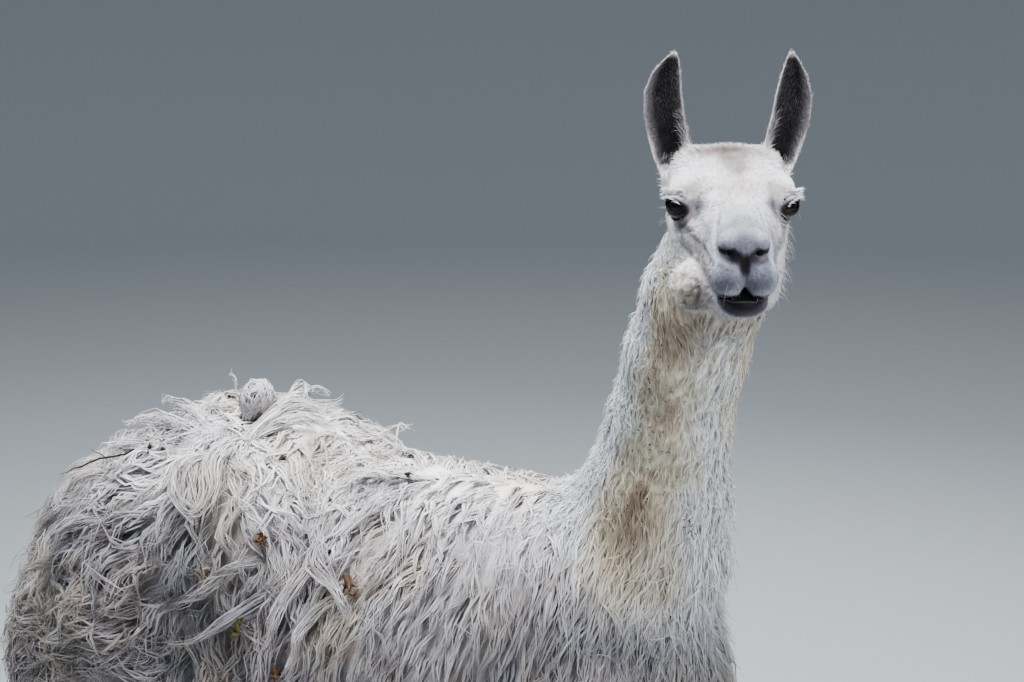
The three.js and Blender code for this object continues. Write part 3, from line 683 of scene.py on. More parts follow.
def markings(p, bare=False):
    """Colour of coat and skin at a point of the body (millimetres), linear."""
    x, y, z = p[:, 0], p[:, 1], p[:, 2]
    q = to_head(p)
    n1, n2, n3 = noise2(p, 130, 3), noise2(p, 55, 11), noise2(p, 22, 23)
    c = np.tile(WOOL, (len(p), 1))
    c = mix(c, PINK, 0.55 * ramp(n1, 0.0, 0.6))
    c = mix(c, GREY, 0.5 * ramp(-n2, 0.1, 0.7))
    neck0 = ramp((y + 100) * -0.683 + (z - 1007.5) * 0.73, -25, 55)
    c = mix(c, CREAM, 0.3 * ramp(n2 * 0.7 + n1 * 0.5, 0.2, 0.8))
    # painted shade: the trunk greyer and darker low on its sides, most to the rear, and low at the front
    down = ramp(1135 - z, 0, 150) * (1 - neck0)
    c = mix(c, srgb(158, 153, 156), down * (0.8 + 0.2 * ramp(y, 220, 560)))
    c = mix(c, srgb(142, 136, 138), 0.6 * down * ramp(y, 560, 860))
    c = mix(c, srgb(160, 158, 162), 0.6 * ramp(1100 - z, 0, 130) * ramp(130 - y, 0, 160))
    c = mix(c, srgb(206, 190, 168), 0.5 * ramp(noise2(p, 95, 77), -0.05, 0.5) * (1 - neck0))
    c = mix(c, srgb(214, 196, 190), 0.45 * ramp(noise2(p, 70, 78), 0.05, 0.5) * (1 - neck0))
    c = mix(c, srgb(150, 132, 112), 0.4 * down * ramp(noise2(p, 48, 79), 0.1, 0.6))
    # dusty rump and hem of the wool
    c = mix(c, srgb(168, 156, 150), 0.6 * ramp(y, 620, 900) * ramp(1010 - z, 0, 200) * (0.7 + 0.4 * n2))
    c = mix(c, srgb(150, 136, 122), 0.5 * ramp(800 - z, 60, 330) * (0.6 + 0.4 * n2) * ramp(z, 420, 600))
    haunch = np.stack([np.abs(x), y, z], 1)                                             # darker patch in the hollow of the haunch
    c = c * (1 - 0.34 * np.clip(1.5 * blob(haunch, (200, 500, 1045), (130, 130, 95)), 0, 1))[:, None]
    # neck: tan to the side and back, paler down the throat
    neck = ramp((y + 100) * -0.683 + (z - 1007.5) * 0.73, -45, 35) * (1 - ramp(q[:, 0] * 0.887 + q[:, 2] * 0.461 + 79, -30, 6) * (z > 1380))
    turn = np.radians(HEAD_YAW * 0.8 * np.clip((z - 960) / 520, 0, 1))
    cx = np.interp(z, [950, 1150, 1330, 1480], [0, -10, -40, -79])
    cy = np.interp(z, [950, 1058, 1150, 1330, 1480], [-2, -78, -103, -148, -207])
    front = (x - cx) * np.sin(turn) - (y - cy) * np.cos(turn)
    side = front + 12 * n2 + 8 * n3
    lowneck = 1 - ramp(z, 1150, 1250)
    c = mix(c, srgb(246, 246, 248), neck * 0.95)
    c = mix(c, srgb(244, 230, 208), 0.9 * neck * ramp(side + 34 * lowneck, -22, 20) * (1 - ramp(side, 60, 104)))
    c = mix(c, srgb(222, 200, 170), 0.6 * neck * ramp(side + 34 * lowneck, -8, 34) * (1 - ramp(side, 40, 96)) * (0.85 + 0.5 * n2))
    c = mix(c, STAIN, neck * 0.8 * ramp(n2 + 0.9 * n3, 0.0, 0.6) * np.exp(-((front - 36) / 24) ** 2) * ramp(z, 1040, 1130) * (1 - 0.8 * ramp(z, 1300, 1420)))
    c = mix(c, srgb(168, 152, 134), neck * 0.3 * ramp(1175 - z, 0, 60) * (1 - ramp(1175 - z, 90, 170)) * np.exp(-((front - 24) / 34) ** 2))
    # painted shade on the throat under the jaw
    c = c * (1 - 0.45 * neck * ramp(front, 42, 68) * ramp(z, 1325, 1400))[:, None]
    # painted shade low on the chest
    c = c * (1 - 0.42 * ramp(1050 - z, 0, 120) * ramp(150 - y, 0, 160))[:, None]
    # painted light: the skin under the coat painted lighter, to lift the shade in the gaps between tufts
    if bare:
        c = np.clip(c * 1.22, 0, 0.9)
    c = mix(c, srgb(242, 228, 208), 0.9 * np.clip(1.5 * blob(p, (-94, -138, 1048), (72, 64, 80)), 0, 1))
    # painted shade in the creases between the lumps of wool
    fa = fleece_amount(p)
    if fa.max() > 0.05:
        c = c * (1 - fa * 0.5 * (1 - ramp(fleece(p), 0.2, 0.62)))[:, None]
    # head
    hd = ramp(q[:, 0] * 0.887 + q[:, 2] * 0.461 + 79, -8, 14) * (z > 1400)
    f, s, u = q[:, 0], q[:, 1], q[:, 2]
    a = np.abs(s)
    h = np.tile(WHITE, (len(p), 1))
    h = mix(h, srgb(214, 206, 206), 0.5 + 0.5 * n3)
    h = mix(h, srgb(206, 188, 182), 0.75 * blob(q, (40, 0, 22), (75, 26, 40)))        # warm bridge
    h = mix(h, BROWN, 0.98 * np.clip(blob(q, (-30, -4, 58), (34, 22, 30)) * 2.1 + 0.6 * n3 * blob(q, (-30, 0, 58), (46, 40, 30)), 0, 1))
    h = mix(h, srgb(190, 178, 178), 0.8 * np.clip(1.6 * blob(q, (-50, 0, 56), (40, 52, 26)), 0, 1))
    sock = np.stack([f, a, u], 1)
    h = mix(h, srgb(150, 144, 152), 0.8 * np.clip(1.5 * blob(sock, (34, 42, -6), (24, 17, 16)), 0, 1))            # painted shade in the hollows before the eyes
    h = mix(h, srgb(150, 142, 148), 0.75 * np.clip(1.6 * blob(sock, (12, 56, -22), (30, 16, 15)), 0, 1))          # painted shade of the bags under them
    h = mix(h, srgb(176, 170, 176), 0.6 * np.clip(1.4 * blob(sock, (84, 36, -46), (40, 18, 34)), 0, 1))           # painted shade in the hollow of the cheek
    h = mix(h, srgb(202, 186, 180), 0.55 * np.clip(1.5 * blob(sock, (2, 40, 20), (30, 16, 14)), 0, 1))            # warm over the lids
    full = np.clip(1.6 * blob(q, (72, -56, -92), (56, 44, 44)), 0, 1)                   # the full cheek
    h = mix(h, srgb(216, 200, 176), 0.75 * full)
    # painted shade in the wrinkles of the full cheek
    h = mix(h, srgb(112, 98, 84), 0.7 * full * (1 - ramp(np.abs(noise(q, 17, 61)) + 0.5 * np.abs(noise(q, 8, 62)), 0.06, 0.3)))
    nose = np.stack([f, a, u], 1)
    low = ramp(-u + 0.1 * (f - 130), 10, 34)                                     # from bridge down to the nose pad
    h = mix(h, srgb(186, 186, 198), 0.85 * ramp(f, 84, 116) * (1 - 0.55 * ramp(a, 22, 36)))
    h = mix(h, srgb(156, 154, 164), 0.95 * ramp(f + 0.2 * (u + 40), 118, 140) * (1 - 0.5 * ramp(a, 26, 36) * (1 - low)))
    h = mix(h, srgb(122, 120, 129), 0.95 * ramp(f, 138, 156) * low)
    h = mix(h, srgb(170, 170, 182), 0.8 * np.clip(1.7 * blob(nose, (146, 20, -27), (22, 13, 11)), 0, 1))        # wings of the nose
    h = mix(h, srgb(116, 117, 129), 0.9 * np.clip(1.6 * blob(nose, (158, 17, -68), (22, 24, 24)), 0, 1))        # lobes
    h = mix(h, srgb(192, 195, 206), 0.75 * np.clip(1.8 * blob(nose, (142, 30, -60), (24, 9, 26)), 0, 1))        # their pale outer sides
    # painted shade about the inner ends of the nostrils and down the groove of the split lip
    h = mix(h, srgb(60, 53, 58), np.clip(1.9 * blob(nose, (162, 9, -45), (18, 15, 10)), 0, 1))
    h = mix(h, DARK, 0.97 * (f > 138) * (1 - ramp(a, 1.6 + 2.6 * (1 - ramp(np.abs(u + 52), 0, 13)), 6.5)) * ramp(-u, 40, 46) * (1 - 0.75 * ramp(-u, 58, 72)))
    # painted shade inside the nostrils
    slit = chain(nose, NOSTRIL, [0] * 6, 2)
    h = mix(h, DARK, 1 - ramp(slit, 2.6, 5.2))
    h = mix(h, srgb(206, 198, 206), 0.25 * np.clip(2 * blob(nose, (160, 15, -82), (26, 16, 6)), 0, 1))          # pale rims of the lobes
    lips = chain(nose, LIPS, [0] * 7, 2)
    cres = np.sqrt((a / 30.0) ** 2 + ((-u - 84) / 22.0) ** 2)
    # the lower lip dark, and near black at its middle and in the gap under the split lip: dark skin and painted shade
    h = mix(h, srgb(66, 60, 68), 0.95 * ramp(-u, 84, 88) * (1 - ramp(cres, 1.0, 1.25)) * ramp(f, 108, 124))
    h = mix(h, srgb(26, 22, 26), 0.97 * ramp(-u, 84, 88) * (1 - ramp(cres, 0.66, 0.86)) * ramp(f, 112, 128))
    h = mix(h, srgb(9, 8, 10), (f > 140) * (1 - ramp(a - np.clip(-(u + 75), 0, 16) * 0.72, -0.5, 1.8)) * ramp(-u, 74, 77) * (1 - ramp(-u, 90, 94)))
    # painted shade in the crease behind each lobe
    crease = chain(nose, [[126, 33, -50], [121, 37, -64], [124, 37, -78], [134, 35, -88]], [0, 0, 0, 0], 2)
    h = mix(h, srgb(92, 84, 90), 0.75 * (1 - ramp(crease, 1.5, 6)))
    # painted shade in each fold, the deeper the darker
    for pts, wd, dp in FOLDS:
        h = mix(h, srgb(118, 108, 110), min(0.62, 0.15 * dp + 0.12) * (1 - ramp(chain(q, pts, [0] * len(pts), 1.5), 0.5, wd * 1.9)))
    # painted shade along the line of the closed mouth
    h = mix(h, DARK, (1 - ramp(lips, 2.2, 4.6)) * ramp(f, 116, 132))
    for at_, r_, tone, w_ in FACE_SHADES:
        h = h * (1 - w_ * np.clip(1.6 * blob(sock, at_, r_), 0, 1)[:, None] * (1 - tone))
    for line, wide, tone, w_ in FACE_LINES:
        h = h * (1 - w_ * np.clip(0.8 + 0.7 * n3, 0.3, 1)[:, None] * (1 - ramp(chain(sock, line, [0] * len(line), 2), 0.15 * wide, wide))[:, None] * (1 - tone))
    h = h * (1 - 0.9 * np.clip(1.5 * blob(q, (92, -46, -108), (44, 28, 20)), 0, 1)[:, None] * (1 - COOL_SHADE_AND_SKIN))           # painted shade under the full cheek
    h = h * (1 - 0.5 * np.clip(1.5 * blob(q, (88, -52, -84), (36, 30, 34)), 0, 1)[:, None] * (1 - WARM))            # its dusty side
    h = h * (1 + 0.16 * noise2(q * np.array([0.5, 1, 1]), 5.0, 47) + 0.1 * n3)[:, None]
    e = nose - EYE_C
    r = np.sqrt((e * e).sum(-1))
    w = V(0.66, 0.75, 0.0) / math.hypot(0.66, 0.75)
    av, bv, cv = e @ w, e @ V(w[1], -w[0], 0), e[:, 2]
    rim = np.sqrt((bv / 14.0) ** 2 + ((cv + 0.16 * bv) / 8.2) ** 2)
    h = mix(h, srgb(146, 130, 134), 0.75 * (1 - ramp(rim, 1.3, 2.6)) * (av > -4) * (r < 44) * ramp(-cv + 4, 0, 8))
    h = mix(h, srgb(96, 84, 86), 0.8 * (1 - ramp(rim, 1.1, 1.8)) * (av > 0) * (r < 34))
    h = mix(h, srgb(20, 16, 18), (1 - ramp(rim, 1.08, 1.5)) * (av > 2) * (r < 30))
    h = mix(h, srgb(74, 62, 66), 0.85 * (1 - ramp(chain(nose, [[17, 46, -4], [27, 40, -7], [38, 35, -14]], [0, 0, 0], 2), 1.5, 5.5)))
    c = mix(c, h, hd)
    # ears: pale outside, dark within
    for sign in (-1, 1):
        t, yy, hw, cup, th, X = ear_local(q, sign)
        on = (u > 42) & (np.abs(t) < 1.25) & (np.abs(yy) < th + 4) & (z > 1560)
        wide = np.interp(u, [30, 48, 80, 160], [0.14, 0.5, 0.98, 0.98])
        inside = ramp(yy, 0.2, 1.8) * (1 - ramp(np.abs(t - sign * (0.5 - 0.5 * ramp(u, 30, 80))), wide - 0.16, wide + 0.06)) * ramp(u, 32, 44) * (1 - ramp(u, 164, 172))
        pale = mix(np.tile(srgb(214, 208, 206), (len(p), 1)), srgb(178, 170, 170), 0.5 + 0.5 * n3)
        inner = mix(np.tile(srgb(18, 15, 17), (len(p), 1)), srgb(48, 42, 46), 0.3 + 0.6 * noise2(p, 9, 31))
        inner = mix(inner, srgb(118, 110, 116), 0.8 * ramp(np.abs(t + 0.14 * sign), 0.5, 0.95))
        ecol = mix(pale, inner, inside)
        c = np.where((on & (hd > 0.3))[:, None], ecol, c)
    # legs and feet
    leg = 1 - ramp(z, 380, 560)
    lc = mix(np.tile(srgb(204, 192, 176), (len(p), 1)), srgb(164, 148, 130), 0.5 + 0.5 * n2)
    lc = mix(lc, srgb(112, 98, 84), 0.5 * (1 - ramp(z, 20, 150)))
    c = mix(c, lc, leg)
    c = mix(c, srgb(74, 66, 60), 0.85 * (1 - ramp(z, 2, 9)))
    return np.clip(c * (1 + 0.07 * n3)[:, None], 0.002, 0.9)


# =====================================================================================
# meshes
# =====================================================================================
def new_object(name, verts, faces, smooth=True):
    """faces: an (n, k) array, or a list of such arrays."""
    if not isinstance(faces, list):
        faces = [faces]
    me = bpy.data.meshes.new(name)
    me.vertices.add(len(verts))
    me.vertices.foreach_set("co", np.ascontiguousarray(verts, np.float32).ravel())
    loops = np.concatenate([f.ravel() for f in faces]).astype(np.int32)
    sizes = np.concatenate([np.full(len(f), f.shape[1]) for f in faces])
    me.loops.add(len(loops))
    me.loops.foreach_set("vertex_index", loops)
    me.polygons.add(len(sizes))
    start = np.concatenate([[0], np.cumsum(sizes)[:-1]]).astype(np.int32)
    me.polygons.foreach_set("loop_start", start)
    me.polygons.foreach_set("use_smooth", np.full(len(sizes), smooth))
    me.update(calc_edges=True)
    ob = bpy.data.objects.new(name, me)
    bpy.context.scene.collection.objects.link(ob)
    return ob


def paint(ob, colours, name="Col"):
    at = ob.data.color_attributes.new(name, "FLOAT_COLOR", "POINT")
    at.data.foreach_set("color", np.concatenate([colours, np.ones((len(colours), 1))], 1).astype(np.float32).ravel())


def lay_uv(ob, uv, name="OFBake"):
    """uv: one pair for each vertex."""
    loops = np.empty(len(ob.data.loops), np.int32)
    ob.data.loops.foreach_get("vertex_index", loops)
    layer = ob.data.uv_layers.new(name=name)
    layer.data.foreach_set("uv", uv[loops].astype(np.float32).ravel())


def material(name, rough=0.6, **sockets):
    m = bpy.data.materials.new(name)
    m.use_nodes = True
    nt = m.node_tree
    b = nt.nodes["Principled BSDF"]
    b.inputs["Roughness"].default_value = rough
    for k, v in sockets.items():
        b.inputs[k.replace("_", " ")].default_value = v
    return m, nt, b


def node(nt, kind, **inputs):
    n = nt.nodes.new(kind)
    for k, v in inputs.items():
        key = k.replace("_", " ")
        if key in n.inputs:
            n.inputs[key].default_value = v
        else:
            setattr(n, k, v)
    return n


# =====================================================================================
# the skin: one closed mesh from the grid
# =====================================================================================
def lines(a, b, step):
    return a + step * np.arange(int(round((b - a) / step)) + 1)


FINE = 1.8
BODY = 9.0
head_x, head_y, head_z = (-372, -62), (-412, -112), (1424, 1742)
gx = np.concatenate([lines(head_x[0] - 12, head_x[1], FINE), lines(head_x[1] + BODY * 0.7, 232, BODY)])
gy = np.concatenate([lines(head_y[0] - 12, head_y[1], FINE), lines(head_y[1] + BODY * 0.7, 1004, BODY)])
foot_z = lines(-4, 120, 6.0)
gz = np.concatenate([foot_z, lines(foot_z[-1] + BODY, head_z[0] - BODY * 0.6, BODY), lines(head_z[0], head_z[1] + 6, FINE)])
sv, sf, scell = surface(skin, [gx, gy, gz])
say("skin net", len(sv), "quads", len(sf))
lim = np.minimum(scell.min(1), 6.0) * 0.6
for turn in range(3):
    g, d = slope(skin, sv, 0.4)
    n2 = np.maximum((g * g).sum(-1), 0.15)
    step_ = np.clip(0.9 * d / n2, -lim, lim)
    sv = sv - g * step_[:, None]
fa = fleece_amount(sv)
sel = fa > 0.02
g, d = slope(skin, sv[sel], 1.0)
sv[sel] += unit(g) * (fa[sel] * (fleece(sv[sel]) * 11 - 9))[:, None]
hq = to_head(sv)
full = np.clip(1.6 * blob(hq, (72, -56, -92), (56, 44, 44)), 0, 1) * (sv[:, 2] > 1380)
sel = full > 0.02
g, d = slope(skin, sv[sel], 1.0)
sv[sel] += unit(g) * (full[sel] * (5.5 * np.sqrt(np.clip(np.abs(noise(hq[sel], 17, 61)) + 0.5 * np.abs(noise(hq[sel], 8, 62)), 0, 1)) - 3.0))[:, None]
say("skin settled")
skin_n, _ = slope(skin, sv, 0.5)
skin_n = unit(skin_n)
skin_ob = new_object("skin", place(sv), sf)
# painted light: the skin painted lighter than the coat, to lighten the gaps between tufts
paint(skin_ob, markings(sv, True))
say("skin painted")


# =====================================================================================
# the coat: tapered three-sided tufts, grown as guides, locks and strands
# =====================================================================================
rng = np.random.default_rng(20)
tri = np.concatenate([sf[:, [0, 1, 2]], sf[:, [0, 2, 3]]])
ta = 0.5 * np.linalg.norm(np.cross(sv[tri[:, 1]] - sv[tri[:, 0]], sv[tri[:, 2]] - sv[tri[:, 0]]), axis=1)
LESS = 1.0

# parts of the animal, as weights on the skin's vertices
SX, SY, SZ = sv.T
SQ = to_head(sv)
plane_h = SQ[:, 0] * 0.887 + SQ[:, 2] * 0.461 + 79
on_head = ramp(plane_h, -10, 2) * (SZ > 1380)
hair_head = ramp(plane_h, -34, -20) * (SZ > 1380)
ear_d = np.where(SZ > 1530, np.minimum(ear_form(SQ, -1, 0), ear_form(SQ, 1, 0)), 99)
on_ear = (ear_d < 1.2) * (SQ[:, 2] > 34)
neck_side_of = (SY + 100) * -0.683 + (SZ - 1007.5) * 0.73
on_neck = ramp(neck_side_of, -30, 10) * (1 - on_head)
on_tail = np.zeros(len(sv))
tm = (SY > 780) & (SZ > 680) & (SZ < 1010)
on_tail[tm] = ramp(-(tail_form(sv[tm]) - outer(sv[tm], with_tail=False)), 6, 16)
on_leg = (1 - ramp(SZ, 560, 610)) * (1 - on_tail)
on_foot = 1 - ramp(SZ, 55, 90)
on_trunk = (1 - on_neck) * (1 - on_leg) * (1 - on_head) * (1 - on_tail)
hump_zone = ramp(SY, 250, 420)


def scatter(weight, count, cell=0.0, over=3.0):
    """Points spread over the skin by weight, no two in one cell, with the skin's normal."""
    tw = ta * weight[tri].mean(1)
    cum = np.cumsum(tw)
    k = int(count * (over if cell else 1.0))
    pick = np.searchsorted(cum, rng.random(k) * cum[-1])
    a, b = rng.random(k), rng.random(k)
    flip = a + b > 1
    a[flip], b[flip] = 1 - a[flip], 1 - b[flip]
    t = tri[pick]
    a, b = a[:, None], b[:, None]
    p = sv[t[:, 0]] * (1 - a - b) + sv[t[:, 1]] * a + sv[t[:, 2]] * b
    n = unit(skin_n[t[:, 0]] * (1 - a - b) + skin_n[t[:, 1]] * a + skin_n[t[:, 2]] * b)
    if cell:
        key = np.floor(p / cell).astype(np.int64)
        key = (key[:, 0] * 100003 + key[:, 1]) * 100003 + key[:, 2]
        first = np.unique(key, return_index=True)[1]
        keep = rng.permutation(first)[:count]
        p, n = p[keep], n[keep]
    return p, n


def cross(a, b):
    return np.cross(a, b)


def lie(p, N):
    """The way the wool falls, in the surface."""
    y, z = p[:, 1], p[:, 2]
    back = np.interp(y, [-250, 60, 350, 700, 900, 980], [0.0, 0.07, 0.24, 0.6, 0.35, 0.05])
    back = np.where(z > 1010, np.minimum(back, 0.22) - 0.1 * ramp(z, 1100, 1300), back)
    t = np.stack([0.55 * np.tanh(p[:, 0] / 40), back, -np.ones(len(p))], 1)
    t = t - N * (t * N).sum(1, keepdims=True)
    return unit(t)


def turned(t, N, a):
    return t * np.cos(a)[:, None] + cross(N, t) * np.sin(a)[:, None]


def grow(p, length, heading, bend, sway, sway_n, rise, top, steps=10, flow=lie, field=outer):
    """Guides from the skin: each rises to the share `top` of the coat's depth and lies along the body."""
    m = len(p)
    pts, nor = [p], []
    cur = p
    ph = rng.random(m) * 6.283
    for k in range(1, steps + 1):
        s = k / steps
        g, d = slope(field, cur, 1.5)
        N = unit(g)
        nor.append(N)
        ang = heading + bend * s + sway * np.sin(6.283 * sway_n * s + ph)
        t = turned(flow(cur, N), N, ang)
        nxt = cur + t * (length / steps)[:, None]
        g, d = slope(field, nxt, 1.5)
        depth = coat_depth(nxt)
        a = top * np.clip(s / rise, 0, 1) ** 0.8
        want = -depth * (1 - a)
        nxt = nxt + unit(g) * np.clip(want - d, -30, 30)[:, None]
        pts.append(nxt)
        cur = nxt
    nor.append(unit(g))
    return np.stack(pts, 1), np.stack(nor, 1)


def along(A, s):
    """Rows of curves (n, K+1, 3) read at s (n, R)."""
    K = A.shape[1] - 1
    x = np.clip(s, 0, 1) * K
    i = np.minimum(x.astype(int), K - 1)
    f = (x - i)[..., None]
    r = np.arange(len(A))[:, None]
    return A[r, i] * (1 - f) + A[r, i + 1] * f


def strands(P, N, per, rings, width, thick, wave=0.0, waves=2.0, frizz=1.2, meet=0.35, twist=0.5, stagger=0.2, sink=2.5, short=0.72):
    """Strands of each lock round its guide; all sizes may be one per lock."""
    m = len(P)
    one = lambda v: np.repeat(np.broadcast_to(np.asarray(v, float), (m,)), per)
    n = m * per
    P, N = np.repeat(P, per, 0), np.repeat(N, per, 0)
    lock_ph = np.repeat(rng.random(m) * 6.283, per)
    width, thick, wave, waves, meet, twist = map(one, (width, thick, wave, waves, meet, twist))
    rad, an = np.sqrt(rng.random(n)), rng.random(n) * 6.283
    b0, e0 = rad * np.cos(an) * width * 0.5, rad * np.sin(an) * thick * 0.5
    base = np.concatenate([[0.0], np.linspace(0.12, 1.0, rings)]) if rings > 2 else np.linspace(0, 1, rings + 1)
    start = (rng.random(n) - 0.5) * stagger
    span = short + (1.02 - short) * rng.random(n)
    s = base[None] * span[:, None]
    rd = np.clip(s + start[:, None] * base[None], 0, 1)
    C, F = along(P, rd), unit(along(N, rd))
    T = unit(np.gradient(C, axis=1))
    B = unit(cross(F, T))
    # slide the root along the lie
    Lg = np.linalg.norm(P[:, -1] - P[:, 0], axis=1)
    C = C + T[:, :1] * (start * Lg)[:, None, None] * (1 - base)[None, :, None]
    up = np.clip(s / 0.3, 0, 1)
    close = 1 - (1 - meet)[:, None] * s ** 1.2
    th = twist[:, None] * 6.283 * s + 0.0
    ob = close * (b0[:, None] * np.cos(th) - e0[:, None] * np.sin(th) * up)
    oe = close * up * (b0[:, None] * np.sin(th) * 0.7 + e0[:, None] * np.cos(th))
    wph = 6.283 * waves[:, None] * s + lock_ph[:, None]
    env = np.clip(s / 0.35, 0, 1)
    ob = ob + wave[:, None] * env * np.sin(wph)
    oe = oe + 0.6 * wave[:, None] * env * np.cos(wph)
    f = one(frizz) if np.ndim(frizz) else np.full(n, frizz)
    f = f * (0.4 + rng.random(n) * 1.1)
    nf = 0.8 + 1.7 * rng.random(n)
    fa, fb = rng.random(n) * 6.283, rng.random(n) * 6.283
    ob = ob + (f * 1.0)[:, None] * env * np.sin(6.283 * nf[:, None] * s + fa[:, None])
    oe = oe + (f * 0.8)[:, None] * env * np.cos(6.283 * nf[:, None] * s + fb[:, None])
    C = C + B * ob[..., None] + F * oe[..., None]
    C[:, 0] -= F[:, 0] * sink
    return C, F


def hairs(p, n, t, length, lift0, lift1, rings=2, sink=0.8, bend=0.0):
    """Single short tufts: up from the skin, then laid over."""
    m = len(p)
    sink = np.broadcast_to(sink, (m,))[:, None]
    pts = [p - n * sink]
    cur = p - n * sink
    side = cross(n, t)
    for k in range(rings):
        a = np.broadcast_to(lift0 + (lift1 - lift0) * k / max(rings - 1, 1), (m,))
        h = bend * (k + 1) / rings
        tt = t * np.cos(h)[:, None] + side * np.sin(h)[:, None] if np.ndim(h) else t
        cur = cur + (tt * np.cos(a)[:, None] + n * np.sin(a)[:, None]) * (length / rings)[:, None]
        pts.append(cur)
    C = np.stack(pts, 1)
    return C, np.repeat(n[:, None], rings + 1, 1)


PIECES = []


def place_n(v):
    return unit(v).astype(np.float32)


def capsule_uv(p, a, b, r, u0=0.0, u1=1.0, v0=0.0, v1=1.0, ref=(0, 0, 1)):
    """Unwrap of a rounded rod: turn round its axis, and distance over its ends."""
    a, b = np.asarray(a, float), np.asarray(b, float)
    L = np.linalg.norm(b - a)
    ax = (b - a) / L
    t = np.clip((p - a) @ ax, 0, L)
    r_ = p - a - t[:, None] * ax
    al = r_ @ ax
    pr = r_ - al[:, None] * ax
    e1 = np.asarray(ref, float) - ax * (np.asarray(ref, float) @ ax)
    e1 = e1 / np.linalg.norm(e1)
    e2 = np.cross(ax, e1)
    u = np.arctan2(pr @ e2, pr @ e1) / 6.2832 + 0.5
    v = (t + r * (np.arctan2(al, np.linalg.norm(pr, axis=1)) + 1.5708)) / (L + r * 3.1416)
    m = 0.004
    return np.stack([u0 + m + (u1 - u0 - 2 * m) * u, v0 + m + (v1 - v0 - 2 * m) * v], 1)


